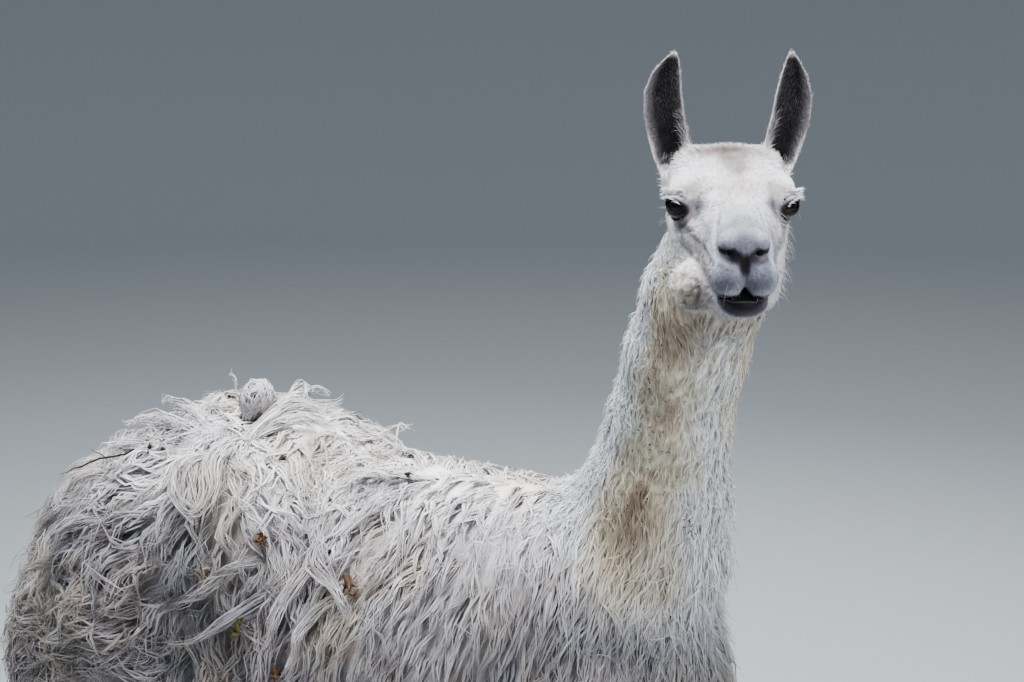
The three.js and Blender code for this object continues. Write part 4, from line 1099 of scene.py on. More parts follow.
def coat(name, C, F, radius, uv, slot="wool", profile=None, shade=(0.74, 1.06), tint=None, white=0.0, dark=None, flat=1.0, soft=0.72, colour=None):
    """A joined mesh of the tufts whose centre lines are C (n, R+1, 3)."""
    n, R = len(C), C.shape[1] - 1
    lump = fleece_amount(C.reshape(-1, 3)).reshape(n, R + 1)
    G = F
    if lump.max() > 0.03:
        flat_ = C.reshape(-1, 3)
        h0 = fleece(flat_)
        gr = np.stack([fleece(flat_ + d_) - h0 for d_ in np.eye(3) * 3.0], 1) / 3.0
        h0, gr = h0.reshape(n, R + 1), gr.reshape(n, R + 1, 3)
        gr = gr - F * (gr * F).sum(-1, keepdims=True)
        G = unit(F - gr * (16 * lump)[..., None])
        up_ = np.concatenate([[0.0], np.ones(R)])[None] * lump * (h0 * 13 - 9)
        C = C + F * up_[..., None]
    T = unit(np.gradient(C, axis=1))
    B = unit(cross(F, T))
    U = cross(T, B)
    prof = profile or {4: [0.8, 1, 0.95, 0.6], 3: [0.9, 1, 0.65], 2: [1, 0.7]}.get(R) or np.interp(np.arange(R) / R, [0, 0.2, 0.55, 0.85], [0.7, 1, 0.95, 0.42])
    w = radius[:, None] * np.array(prof)[None]
    ph = 1.5708 + 0.5 * rng.standard_normal(n) if flat < 0.7 else rng.random(n) * 6.283
    V_, N_ = np.empty((n, R * 3 + 1, 3)), np.empty((n, R * 3 + 1, 3))
    for k in range(3):
        a = ph + k * 2.0944
        ring_ = B[:, :R] * np.cos(a)[:, None, None] + U[:, :R] * (flat * np.sin(a))[:, None, None]
        V_[:, k:R * 3:3] = C[:, :R] + w[..., None] * ring_
        N_[:, k:R * 3:3] = unit(unit(ring_) * (1 - soft) + G[:, :R] * soft)
    V_[:, R * 3] = C[:, R]
    N_[:, R * 3] = unit(G[:, R] * soft + T[:, R] * 0.3 * (1 - soft))
    quads, tris_ = [], []
    for r in range(R - 1):
        for k in range(3):
            k2 = (k + 1) % 3
            quads.append([r * 3 + k, r * 3 + k2, r * 3 + 3 + k2, r * 3 + 3 + k])
    r = R - 1
    for k in range(3):
        tris_.append([r * 3 + k, r * 3 + (k + 1) % 3, R * 3])
    step = (np.arange(n) * (R * 3 + 1))[:, None, None]
    fq = (np.array(quads)[None] + step).reshape(-1, 4)
    ft = (np.array(tris_)[None] + step).reshape(-1, 3)
    col = markings(C.reshape(-1, 3)).reshape(n, R + 1, 3) if colour is None else np.tile(colour, (n, R + 1, 1))
    if dark is not None:
        col = col * (1 - dark[:, None, None]) + np.array(STAIN) * dark[:, None, None]
    # painted shade and painted light along each tuft: the root darker or lighter than the tip, by the two numbers of
    # shade
    s = np.linspace(0, 1, R + 1)
    g = shade[0] + (shade[1] - shade[0]) * s ** 0.8
    col = col * g[None, :, None]
    tt = 1 + 0.10 * rng.standard_normal(n) if tint is None else tint
    hue = rng.standard_normal(n) * 0.022
    col = col * np.clip(tt, 0.6, 1.3)[:, None, None]
    col[..., 0] *= (1 + hue)[:, None]
    col[..., 2] *= (1 - hue)[:, None]
    if white:
        col = col + (WHITE - col) * white
    col = np.clip(col, 0.002, 0.93)
    cv = np.empty((n, R * 3 + 1, 3))
    cv[:, :R * 3] = np.repeat(col[:, :R], 3, axis=1)
    cv[:, R * 3] = col[:, R]
    uvv = np.empty((n, R * 3 + 1, 2))
    ring = np.repeat(np.arange(R), 3) / R
    uvv[:, :R * 3, 0] = uv[:, :1] + (np.tile([-1.0, 0, 1.0], R) * 0.0013)[None]
    uvv[:, :R * 3, 1] = uv[:, 1:] + ((ring - 0.5) * 0.003)[None]
    uvv[:, R * 3] = uv + np.array([0, 0.0015])
    ob = new_object(name, place(V_.reshape(-1, 3)), [fq, ft])
    paint(ob, cv.reshape(-1, 3))
    lay_uv(ob, uvv.reshape(-1, 2))
    fib = np.empty((n, R * 3 + 1, 2))
    seed = rng.random(n) * 90
    reach = np.concatenate([np.zeros((n, 1)), np.cumsum(np.linalg.norm(np.diff(C, axis=1), axis=2), axis=1)], 1)
    fib[..., 0] = seed[:, None] + (np.concatenate([np.tile([0.0, 1.0, 0.5], R), [0.5]])[None] * (radius * 2)[:, None])
    fib[:, :R * 3, 1] = np.repeat(reach[:, :R], 3, axis=1)
    fib[:, R * 3, 1] = reach[:, R]
    lay_uv(ob, fib.reshape(-1, 2), "fibre")
    ob.data.normals_split_custom_set_from_vertices(place_n(N_.reshape(-1, 3)))
    PIECES.append((ob, slot))
    say(name, "tufts", n, "triangles", len(fq) * 2 + len(ft))
    return ob


def split(name, p, per, C, F, rad, uv, cuts=2, **k):
    """The same coat as pieces: right and left, then from front to back."""
    q = np.repeat(p, per, 0)
    right = q[:, 0] < np.median(p[:, 0])
    for tag, side in (("right", right), ("left", ~right)):
        at = np.argsort(q[side, 1] + 0 * q[side, 2], kind="stable")
        ids = np.flatnonzero(side)[at]
        for i, part in enumerate(np.array_split(ids, cuts)):
            if len(part):
                kk = {a: (b[part] if isinstance(b, np.ndarray) and len(b) == len(C) else b) for a, b in k.items()}
                coat(f"{name}_{tag}_{i + 1}", C[part], F[part], rad[part], uv[part], **kk)


def body_uv(p):
    return capsule_uv(p, [0, 90, 850], [0, 760, 850], 260)


# ---- trunk: matted, swirling locks on rump and back, straighter and finer to the front
FLANK = ramp(SZ, 600, 690)
w_rump = on_trunk * hump_zone * (0.25 + 0.75 * FLANK) * (1 - 0.45 * ramp(SX, 0, 120))
w_front = on_trunk * (1 - hump_zone) * (0.35 + 0.65 * FLANK) * (1 - 0.35 * ramp(SX, 0, 120))


def trunk_locks(name, weight, locks, cell, per, rings, radius, length, width, swirl, bend, wave, waves, top, frizz, meet, rise=0.35, flat=1.0, shade=(0.8, 1.08), cuts=2, thick=0.5, stagger=0.25):
    p, n = scatter(weight, int(locks * LESS), cell / math.sqrt(LESS))
    m = len(p)
    sw = noise2(p, 120, 41)
    g0, _ = slope(outer, p, 2.0)
    parting = ramp(unit(g0)[:, 2], 0.72, 0.97)
    head_ = swirl(p) * np.clip(1.5 * sw, -1, 1) + (0.22 + parting * (0.3 + 0.55 * ramp(p[:, 1], 330, 480))) * rng.standard_normal(m)
    L = length(p) * (0.75 + 0.5 * rng.random(m))
    bn = bend(p) * (noise2(p, 70, 51) * 1.3 + 0.5 * rng.standard_normal(m))
    P, N = grow(p, L, head_, bn, 0.35 * wave(p) / 5.0, 1.2 + rng.random(m), rise + 0.1 * rng.random(m), top[0] + (top[1] - top[0]) * np.clip(0.5 + 0.55 * noise(p, 75, 91) * (0.4 + 0.6 * ramp(p[:, 1], 150, 450)) + 0.28 * rng.standard_normal(m), 0, 1.1))
    wd = width(p) * (0.7 + 0.6 * rng.random(m))
    C, F = strands(P, N, per, rings, wd, wd * thick, wave(p) * (0.6 + 0.8 * rng.random(m)), waves, frizz, meet, 0.35 * rng.standard_normal(m), stagger)
    k = len(C)
    lock_t = np.repeat(1 + 0.07 * rng.standard_normal(m), per) * (1 + 0.03 * rng.standard_normal(k))
    rad = radius * (0.7 + 0.6 * rng.random(k))
    uv = body_uv(np.repeat(p, per, 0) + 0.3 * (C[:, 0] - np.repeat(p, per, 0)))
    split(f"wool_{name}", p, per, C, F, rad, uv, tint=lock_t, flat=flat, shade=shade, cuts=cuts, soft=0.82)


rear = lambda a, b: (lambda p: ramp(p[:, 1], a, b))
R36, R35 = rear(300, 600), rear(350, 600)
swirl_rump = lambda p: 0.5 + 0.6 * R35(p) + 0.3 * ramp(p[:, 2], 950, 1080)
swirl_flank = lambda p: 0.12 + 0.33 * ramp(p[:, 1], 0, 350)
# the body of the wool: broad flat locks, their roots painted lighter than their tips as painted light
trunk_locks("rump_under", w_rump, 1500, 17.5, 6, 5, 1.9, lambda p: 85 + 25 * ramp(p[:, 1], 400, 700), lambda p: 25 + 0 * p[:, 0],
            swirl_rump, lambda p: 0.6 + 0.8 * R36(p), lambda p: 2.5 + 1.5 * R36(p), 1.4, (0.5, 0.95), 1.8, 0.4, 0.35, 0.3, (1.16, 1.0), 1, 0.3)
trunk_locks("flank_under", w_front, 1500, 16.5, 6, 4, 1.6, lambda p: 72 + 20 * ramp(-p[:, 1], -100, 100), lambda p: 20 + 0 * p[:, 0],
            swirl_flank, lambda p: 0.15 + 0.4 * R36(p), lambda p: 1.4 + 1.0 * R36(p), 1.3, (0.45, 0.9), 1.4, 0.4, 0.35, 0.3, (1.16, 1.0), 2, 0.3)
# its surface: finer strands gathered into locks, their roots painted a little lighter as painted light
trunk_locks("rump", w_rump, 780, 23, 8, 5, 0.62, lambda p: 100 + 30 * ramp(p[:, 1], 400, 700), lambda p: 24 + 0 * p[:, 0],
            swirl_rump, lambda p: 0.6 + 0.9 * R36(p), lambda p: 4.0 + 3.0 * R36(p), 1.5, (0.72, 1.08), 2.6, 0.36, 0.35, 0.6, (1.08, 1.03), 1)
trunk_locks("flank", w_front, 1050, 19, 7, 4, 0.58, lambda p: 82 + 22 * ramp(-p[:, 1], -100, 100), lambda p: 19 + 0 * p[:, 0],
            swirl_flank, lambda p: 0.15 + 0.45 * R36(p), lambda p: 2.0 + 2.0 * R36(p), 1.3, (0.7, 1.04), 1.8, 0.42, 0.35, 0.6, (1.08, 1.03), 1)


# ---- neck: short plush in small clumps, longer down the nape and on the chest
def neck_uv(p):
    return capsule_uv(p, [0, -60, 1000], [-75, -205, 1500], 75, ref=(0, -1, 0))


neck_low = 1 - ramp(SZ, 1080, 1200)
p, n = scatter(on_neck * (1 + 0.25 * ramp(-SX, 0, 80)), int(5200 * LESS), 6.1 / math.sqrt(LESS))
m = len(p)
nl = 1 - ramp(p[:, 2], 1060, 1200)
P, N = grow(p, (24 + 34 * nl) * (0.7 + 0.6 * rng.random(m)), 0.5 * noise2(p, 60, 61) + 0.25 * rng.standard_normal(m), 0.25 * rng.standard_normal(m), 0 * nl, 1 + 0 * nl,
            0.7 + 0 * nl, 0.6 + 0.35 * rng.random(m), steps=5)
C, F = strands(P, N, 4, 2, 8 + 5 * nl, 5 + 3 * nl, 0.4 + nl, 0.8, 0.7, 0.5, 0.0, 0.2, 1.5)
# the neck's tufts painted lighter at the root than at the tip: painted light
split("wool_neck", p, 4, C, F, (0.66 + 0.2 * np.repeat(nl, 4)) * (0.75 + 0.5 * rng.random(len(C))), neck_uv(C[:, 0]), shade=(1.12, 1.02), cuts=1, soft=0.9,
      tint=np.repeat(1 + 0.05 * rng.standard_normal(m), 4) * (1 + 0.04 * rng.standard_normal(len(C))))


# fine fringe standing out along the nape, throat and chest
p, n = scatter(on_neck * (0.2 + 1.3 * ramp(skin_n[:, 1], 0.1, 0.8) + 0.4 * ramp(-skin_n[:, 1], 0.2, 0.9)), int(1300 * LESS), 4)
m = len(p)
nl = 1 - ramp(p[:, 2], 1000, 1150)
P, N = grow(p, (34 + 30 * nl) * (0.6 + 0.8 * rng.random(m)), 0.5 * rng.standard_normal(m), 0.7 * rng.standard_normal(m), 0.4 + 0 * nl, 1 + 0 * nl,
            0.9 + 0 * nl, 1.1 + 0.5 * rng.random(m), steps=6)
C, F = strands(P, N, 2, 4, 5, 4, 1.0, 1.0, 2.2, 1.2, 0.0, 0.2, 1.5)
coat("wool_fringe", C, F, 0.55 * (0.7 + 0.6 * rng.random(len(C))), neck_uv(C[:, 0]), shade=(0.9, 1.1))
# loose wisps over rump and back
p, n = scatter(on_trunk * (0.35 + 0.65 * ramp(skin_n[:, 2], 0.1, 0.8)) * (0.3 + 0.7 * hump_zone), int(450 * LESS), 12)
m = len(p)
P, N = grow(p, 60 + 70 * rng.random(m), 1.2 * rng.standard_normal(m), 2.2 * rng.standard_normal(m), 0.6 + 0 * n[:, 0], 1.3 + 0 * n[:, 0], 0.9 + 0 * n[:, 0], 1.1 + 0.75 * rng.random(m) ** 2, steps=10)
C, F = strands(P, N, 3, 6, 9, 7, 3.0, 1.6, 4.0, 1.3, 0.3, 0.25)
coat("wool_wisps", C, F, 0.6 * (0.7 + 0.6 * rng.random(len(C))), body_uv(np.repeat(p, 3, 0)), shade=(0.92, 1.1))


# ---- head: short hair swept back from the nose
def face_lie(p):
    q = to_head(p)
    f, s, u = q.T
    a = np.abs(s)
    brow = ramp(u, -5, 30)
    t = np.stack([-1 + 0.7 * ramp(-f, 10, 60), np.sign(s) * (0.15 + 0.5 * ramp(a, 10, 50) * brow), -0.55 * (1 - brow) + 0.45 * brow], 1)
    under = ramp(-u, 60, 100)
    t = t * (1 - under[:, None]) + np.array([-1, 0, -0.35]) * under[:, None]
    # out from the eye
    e = np.stack([f - 3, a - 55, u + 1], 1)
    r = np.linalg.norm(e, axis=1)
    ring = (1 - ramp(r, 24, 40)) * ramp(f, -20, 20)
    out = e / np.maximum(r, 1)[:, None]
    out[:, 1] *= np.sign(s)
    t = t * (1 - 0.6 * ring[:, None]) + out * 0.6 * ring[:, None]
    return t @ HM.T


def head_uv(p):
    q = to_head(p)
    return capsule_uv(q, [-50, 0, -15], [140, 0, -50], 60)


f, s, u = SQ.T
a = np.abs(s)
eye_r = np.sqrt((f - 3) ** 2 + (a - 55) ** 2 + (u + 1) ** 2)
w_eye = V(0.66, 0.75, 0.0) / math.hypot(0.66, 0.75)
E_ = np.stack([f, a, u], 1) - EYE_C
eb, ec, ea = E_ @ V(w_eye[1], -w_eye[0], 0), E_[:, 2], E_ @ w_eye
open_eye = (np.sqrt((eb / 15.0) ** 2 + ((ec + 0.16 * eb) / 9.4) ** 2) < 1) & (ea > 0) & (eye_r < 34)
bare = np.ones(len(sv))
bare[open_eye] = 0
nose3 = np.stack([f, a, u], 1)
nd = chain(nose3, NOSTRIL, [0] * 6, 2)
bare *= ramp(nd, 2.5, 5.5) * (1 - 0.8 * np.clip(2 * bump_at(nose3, (160, 17, -46), (18, 13, 9)), 0, 1))
ld = chain(nose3, LIPS, [0] * 7, 2)
bare *= ramp(ld, 2.0, 4.5)
bare *= 1 - 0.92 * ramp(-u, 84, 88) * (1 - ramp(-u, 103, 108)) * (1 - ramp(a, 26, 33)) * ramp(f, 114, 126)
bare *= 1 - (1 - ramp(a, 4, 8)) * (f > 140) * (u < -40)
bare *= 1 - 0.5 * ramp(f, 138, 150)
w_face = hair_head * (1 - on_ear) * bare * (SZ > 1400) * (1 + 0.8 * ramp(f, -30, 0))
p, n = scatter(w_face, int(23500 * LESS), 1.9 / math.sqrt(LESS), 2.2)
m = len(p)
q = to_head(p)
qf, qa, qu = q[:, 0], np.abs(q[:, 1]), q[:, 2]
t = face_lie(p) + 0.22 * rng.standard_normal((m, 3)) + (0.35 * noise2(p, 26, 71) * (1 - ramp(qf, 60, 110)))[:, None] * unit(np.cross(n, face_lie(p)))
t = unit(t - n * (t * n).sum(1, keepdims=True))
muz = ramp(qf, 70, 125)
crown = ramp(qu, 30, 56) * ramp(-qf, 0, 30)
jaw = ramp(-qu, 62, 92) * (1 - muz)
full = np.clip(1.6 * blob(q, (72, -56, -92), (56, 44, 44)), 0, 1)
L = 8.0 - 3.4 * muz + 6 * crown + 7 * jaw * (1 - full) - 1.5 * full
er = np.sqrt((qf - 3) ** 2 + (qa - 55) ** 2 + (qu + 1) ** 2)
L = L * (0.5 + 0.5 * ramp(er, 24, 40))
lift = 0.26 + 0.2 * crown - 0.1 * muz - 0.08 * full
clump = noise2(p, 7, 81)
C, F = hairs(p, n, t, L * (0.75 + 0.5 * rng.random(m)), lift + 0.15 * clump, 0.1 + 0.2 * crown, 2, 0.8 - 0.55 * muz)
split("hair_face", p, 1, C, F, (0.40 - 0.10 * muz) * (0.8 + 0.5 * rng.random(m)), head_uv(p), cuts=1, slot="short_coat", shade=(0.92, 1.04), soft=0.88,
      tint=1 + 0.05 * rng.standard_normal(m) + 0.06 * clump)


# ---- legs and feet
def legs_uv(p):
    out = np.zeros((len(p), 2))
    for i, (x0, y0) in enumerate(((-100, -14), (100, -14), (-102, 765), (102, 765))):
        sel = ((p[:, 0] < 0) == (x0 < 0)) & ((p[:, 1] < 350) == (y0 < 350))
        if sel.any():
            out[sel] = capsule_uv(p[sel], [x0, y0, 40], [x0, y0, 560], 45, 0.25 * i, 0.25 * i + 0.25, ref=(0, -1, 0))
    return out


w_leg = on_leg * (1 - on_neck) * (SZ > 6) * (0.75 + 0.25 * ramp(SZ, 300, 500))
p, n = scatter(w_leg, int(7500 * LESS), 5.0 / math.sqrt(LESS), 2.5)
m = len(p)
t = np.stack([0 * n[:, 0], 0.12 + 0 * n[:, 0], -1 + 0 * n[:, 0]], 1) + 0.16 * rng.standard_normal((m, 3))
t = unit(t - n * (t * n).sum(1, keepdims=True))
hi_leg = ramp(p[:, 2], 330, 600)
L = np.interp(p[:, 2], [0, 60, 120, 330, 480, 620], [5, 10, 15, 19, 34, 70]) * (0.75 + 0.5 * rng.random(m))
C, F = hairs(p, n, t, L, 0.36 + 0.1 * hi_leg, 0.1, 2, 1.0)
C[..., 2] = np.maximum(C[..., 2], 1.2)
split("hair_legs", p, 1, C, F, (0.9 + 1.4 * hi_leg) * (0.75 + 0.5 * rng.random(m)), legs_uv(p), cuts=1, slot="wool", shade=(0.8, 1.06))

# ---- tail
p, n = scatter(on_tail, int(360 * LESS), 12 / math.sqrt(LESS))
m = len(p)
P, N = grow(p, 60 + 30 * rng.random(m), 0.3 * rng.standard_normal(m), 0.3 * rng.standard_normal(m), 0 * n[:, 0] + 0.2, 1.3 + 0 * n[:, 0], 0.4 + 0 * n[:, 0], 0.9 + 0.15 * rng.random(m), steps=8)
C, F = strands(P, N, 6, 4, 14, 8, 3.0, 1.3, 1.8, 0.4, 0.2, 0.2)
tuv = capsule_uv(C[:, 0], [0, 850, 955], [0, 950, 745], 40)
coat("wool_tail", C, F, 1.3 * (0.75 + 0.5 * rng.random(len(C))), tuv)

# ---- ears: short hair up the outside, a fringe inside the rims
p, n = scatter(on_ear * 1.0, int(4200 * LESS), 2.2 / math.sqrt(LESS), 2.5)
m = len(p)
q = to_head(p)
sgn = np.where(q[:, 1] > 0, 1.0, -1.0)
tl = np.where(sgn > 0, ear_local(q, 1)[0], ear_local(q, -1)[0])
yl = np.where(sgn > 0, ear_local(q, 1)[1], ear_local(q, -1)[1])
inner = (yl > 0) & (np.abs(tl) < 0.9)
t = HU + 0.18 * rng.standard_normal((m, 3)) + np.where(inner, -tl * sgn * 0.0, 0)[:, None] * HS
t = t + (inner * -0.8 * tl)[:, None] * HS
t = unit(t - n * (t * n).sum(1, keepdims=True))
L = np.where(inner, 9 + 4 * rng.random(m), 6 + 3.5 * rng.random(m)) * (1 - 0.4 * ramp(q[:, 2], 140, 170))
C, F = hairs(p, n, t, L, 0.26 + 0.2 * inner, 0.08 + 0.15 * inner, 2)
euv = np.stack([0.25 + 0.5 * (sgn > 0) + 0.11 * tl + 0.0 * sgn, 0.02 + 0.46 * np.clip((q[:, 2] - 30) / 145, 0, 1) + 0.5 * inner], 1)
coat("hair_ears", C, F, 0.42 * (0.8 + 0.5 * rng.random(m)), euv, slot="short_coat", shade=(0.95, 1.05))

# the long pale fringe inside each ear, from the rim nearest the crown
for sign in (-1, 1):
    e = EARS[sign]
    for tag, k, lo_u, hi_u, side, ln, rad in (("fringe", 420, 34, 100, -sign, 15, 0.2), ("outer", 220, 40, 150, sign, 6.5, 0.18), ("base", 220, 28, 46, 0, 12, 0.28), ("rim", 260, 60, 165, -sign, 5, 0.18)):
        k = max(8, int(k * LESS))
        uu = lo_u + (hi_u - lo_u) * rng.random(k) ** (1.35 if tag == "fringe" else 1.0)
        cs, cf, hw, cup = (np.interp(uu, e[:, 2], e[:, i]) for i in (1, 0, 3, 4))
        tt = side * (0.66 + 0.28 * rng.random(k)) if side else (rng.random(k) - 0.5) * 1.5
        an = math.radians(EAR_OUTWARD) * sign
        fw, sd = (math.cos(an), math.sin(an)), (-math.sin(an), math.cos(an))
        yy = -cup * (1 - tt * tt) + cup * 0.5 + 1.2
        q0 = np.stack([cf + sd[0] * tt * hw + fw[0] * yy, cs + sd[1] * tt * hw + fw[1] * yy, uu], 1)
        # each hair leaves the rim across the hollow, upwards and forwards
        aim = np.stack([0.25 + 0.15 * rng.standard_normal(k), -np.sign(tt) * (0.5 if side else 0.2) + 0.22 * rng.standard_normal(k), 1.0 + 0.25 * rng.standard_normal(k)], 1)
        aim = unit(aim) @ HM.T
        nn = unit(np.stack([np.full(k, fw[0]), np.full(k, fw[1]), np.zeros(k)], 1)) @ HM.T
        pp = from_head(q0)
        L = ln * (0.55 + 0.8 * rng.random(k)) * (1 - 0.55 * ramp(uu, 60, 140))
        t_ = unit(aim - nn * (aim * nn).sum(1, keepdims=True))
        C, F = hairs(pp, nn, t_, L, 0.5, 0.05, 3, 1.2, 0.4 * rng.standard_normal(k))
        euv = np.stack([0.25 + 0.5 * (sign > 0) + 0.1 * tt, 0.52 + 0.4 * (uu - 30) / 130], 1)
        coat(f"hair_ear_{tag}_{'left' if sign > 0 else 'right'}", C, F, rad * (0.8 + 0.4 * rng.random(k)), euv, slot="short_coat", shade=(1.0, 1.0), white=0.45, soft=0.6)

# ---- lashes, brow hairs and whiskers
for sign in (-1, 1):
    name = "left" if sign > 0 else "right"
    w3 = V(0.66, 0.75 * sign, 0) / math.hypot(0.66, 0.75)
    h3 = V(0.75, -0.66 * sign, 0) / math.hypot(0.66, 0.75)
    cen = V(3, 55 * sign, -1)
    up3 = V(0, 0, 1)
    rows = []
    # upper lashes: from the lid's edge, out and down
    k = max(10, int(60 * LESS))
    b_ = (rng.random(k) * 2 - 1) * 11.5
    c_ = 6.6 * (1 - (np.abs(b_) / 13.0) ** 2.6) - 0.16 * b_ + 1.6 + 1.6 * rng.random(k)
    a_ = np.sqrt(np.maximum((EYE_R + 2.6) ** 2 - b_ ** 2 - c_ ** 2, 9))
    q0 = cen + a_[:, None] * w3 + b_[:, None] * h3 + c_[:, None] * up3
    aim = unit(w3 * 1.0 + h3 * (b_ * 0.03 - 0.45)[:, None] + up3 * (0.32 + 0.15 * rng.standard_normal(k))[:, None])
    rows.append((q0, aim, np.tile(up3, (k, 1)) * 1.0, 6 + 3.5 * rng.random(k), 0.2, -0.2))
    # brow: longer white hair over the lid, swept outwards
    k = max(10, int(150 * LESS))
    b_ = (rng.random(k) * 2 - 1) * 17 - 3
    c_ = 11.5 + 7.5 * rng.random(k)
    q0 = cen + (EYE_R - 1.5 - 0.012 * b_ ** 2)[:, None] * w3 + b_[:, None] * h3 + c_[:, None] * up3
    aim = unit(w3 * 0.34 + h3 * (-0.85 + 0.4 * rng.standard_normal(k))[:, None] + up3 * (0.22 + 0.35 * rng.standard_normal(k))[:, None])
    rows.append((q0, aim, np.tile(up3, (k, 1)), 5 + 4 * rng.random(k), 0.26, -0.35))
    for i, (q0, aim, upv, L, rad, droop) in enumerate(rows):
        pts = [q0 - aim * 2.0]
        cur = q0
        for r_ in range(4):
            d_ = unit(aim + upv * droop * (r_ / 3.0) ** 1.2)
            cur = cur + d_ * (L / 4)[:, None]
            pts.append(cur)
        C = from_head(np.stack(pts, 1))
        k = len(C)
        F = np.repeat((upv @ HM.T)[:, None], 5, 1) + 0.01
        uvs = head_uv(C[:, 0])
        coat(f"lashes_{name}_{i + 1}", C, unit(F), np.full(k, rad) * (0.8 + 0.4 * rng.random(k)), uvs, slot="short_coat", shade=(1.0, 1.0), white=0.85, soft=0.5)
# whiskers and stray hairs on chin, lips and cheek
p, n = scatter(on_head * (1 - on_ear) * bare * (0.25 * ramp(-u, 40, 80) + ramp(-u, 100, 108) * ramp(f, 60, 120) + 0.6 * ramp(a, 34, 50) * ramp(-u, -10, 40)), max(20, int(420 * LESS)), 3)
m = len(p)
t = unit(face_lie(p) + 0.5 * rng.standard_normal((m, 3)) + np.array([0, 0, -0.5]))
t = unit(t - n * (t * n).sum(1, keepdims=True))
C, F = hairs(p, n, t, 14 + 16 * rng.random(m) ** 2, 0.8, 0.35, 3, 0.8, 0.5 * rng.standard_normal(m))
coat("whiskers", C, F, np.full(m, 0.16), head_uv(p), slot="short_coat", shade=(1.0, 1.0), white=0.6)


# ---- landmark locks of the rump and back, each along a line on the coat
def unit_ray(x, y):
    return pixel_ray(x, y)


def landmark(line, per, width, radius, raised=8.0, rings=9, wave=3.0, meet=0.35, flat=0.6):
    pts, nrm, t_last = [], [], 2700.0
    for i, (x, y) in enumerate(line):
        hit = on_coat(x, y)
        d = unit_ray(x, y)
        if hit is not None:
            t_last = float((hit - CAM_L) @ d)
            g, _ = slope(outer, hit[None], 2.0)
            nrm.append(unit(g)[0])
        else:
            hit = CAM_L + d * t_last
            nrm.append(nrm[-1] if nrm else V(-0.5, 0, 0.8))
        k = i / (len(line) - 1)
        pts.append(hit + nrm[-1] * (raised * min(1, 3 * k) - 14 * (1 - min(1, 3 * k))))
    pts, nrm = np.array(pts), np.array(nrm)
    n = len(pts)
    s = np.linspace(0, n - 1, 25)
    i = np.minimum(s.astype(int), n - 2)
    f_ = (s - i)[:, None]
    at = lambda j: pts[np.clip(j, 0, n - 1)]
    a0, a1, a2, a3 = at(i - 1), at(i), at(i + 1), at(i + 2)
    P = 0.5 * (2 * a1 + (a2 - a0) * f_ + (2 * a0 - 5 * a1 + 4 * a2 - a3) * f_ ** 2 + (3 * a1 - a0 - 3 * a2 + a3) * f_ ** 3)
    N = unit(nrm[i] * (1 - f_) + nrm[i + 1] * f_)
    return strands(P[None], N[None], per, rings, np.array([width * 0.85]), np.array([width * 0.6]), np.array([wave]), 1.4 + rng.random(), 2.6, meet + 0.25, 0.5 * rng.standard_normal(), 0.3, 2.0, 0.65) + (np.full(per, radius * 0.75),)


LANDMARKS = [
    # the ribbon of wool lying forwards off the hump, and its loop
    ([(236, 446), (256, 430), (282, 418), (308, 414), (330, 416), (343, 409)], 34, 34, 1.0, 15),
    ([(250, 440), (275, 428), (303, 424), (328, 430), (352, 440)], 30, 30, 1.0, 10),
    ([(264, 420), (285, 408), (304, 402), (318, 399), (328, 405)], 22, 22, 0.9, 16),
    ([(284, 414), (287, 401), (296, 394), (305, 397), (306, 408), (300, 416)], 9, 9, 0.8, 14),
    # the great curl in the middle of the rump
    ([(250, 428), (232, 444), (219, 468), (216, 494), (207, 514), (192, 518), (183, 503)], 36, 34, 1.0, 13),
    ([(222, 446), (203, 456), (186, 474), (180, 496), (188, 514), (203, 524)], 30, 26, 1.0, 12),
    ([(206, 452), (196, 470), (193, 490), (200, 506), (212, 508)], 22, 18, 0.95, 10),
    # tufts along the outline of the rump
    ([(214, 424), (196, 415), (180, 410), (171, 404), (168, 412)], 24, 22, 0.95, 15),
    ([(206, 430), (184, 426), (164, 424), (146, 429), (133, 434), (127, 430)], 24, 22, 0.95, 13),
    ([(160, 444), (136, 446), (118, 452), (106, 462), (98, 462)], 22, 20, 0.95, 12),
    ([(122, 470), (98, 476), (80, 486), (68, 498), (66, 508), (70, 514)], 24, 22, 0.95, 14),
    ([(92, 512), (72, 524), (58, 540), (52, 556), (44, 558)], 20, 20, 0.95, 12),
    ([(62, 556), (42, 566), (26, 578), (14, 592)], 20, 20, 0.95, 12),
    # folds of the flank behind the shoulder
    ([(330, 520), (318, 545), (322, 570), (340, 592), (352, 612), (356, 620)], 26, 22, 0.95, 12),
    ([(316, 556), (300, 580), (286, 604), (276, 632), (262, 652)], 28, 26, 0.95, 12),
    ([(338, 590), (320, 608), (306, 632), (300, 660), (288, 680)], 28, 24, 0.95, 11),
    ([(252, 560), (226, 572), (204, 590), (180, 604), (152, 616)], 28, 26, 0.95, 11),
    ([(276, 590), (250, 604), (226, 622), (196, 636), (168, 640)], 28, 26, 0.95, 11),
    ([(410, 480), (392, 498), (372, 512), (352, 530), (338, 552)], 28, 26, 0.95, 10),
    ([(430, 470), (400, 478), (372, 478), (344, 486), (324, 500)], 26, 24, 0.95, 10),
    ([(392, 452), (398, 441), (406, 437), (414, 444)], 7, 7, 0.6, 14),
    ([(372, 446), (380, 437), (392, 433), (401, 436), (408, 433)], 8, 8, 0.6, 13),
    ([(238, 400), (236, 390), (232, 384), (233, 374)], 6, 7, 0.55, 14),
]
parts_ = [landmark(*spec) for spec in (LANDMARKS)]
C, F, rad = (np.concatenate([q_[i] for q_ in parts_]) for i in range(3))
coat("wool_landmarks", C, F, rad * (0.75 + 0.5 * rng.random(len(C))), body_uv(C[:, 0]), flat=0.8, shade=(0.9, 1.12), white=0.12)

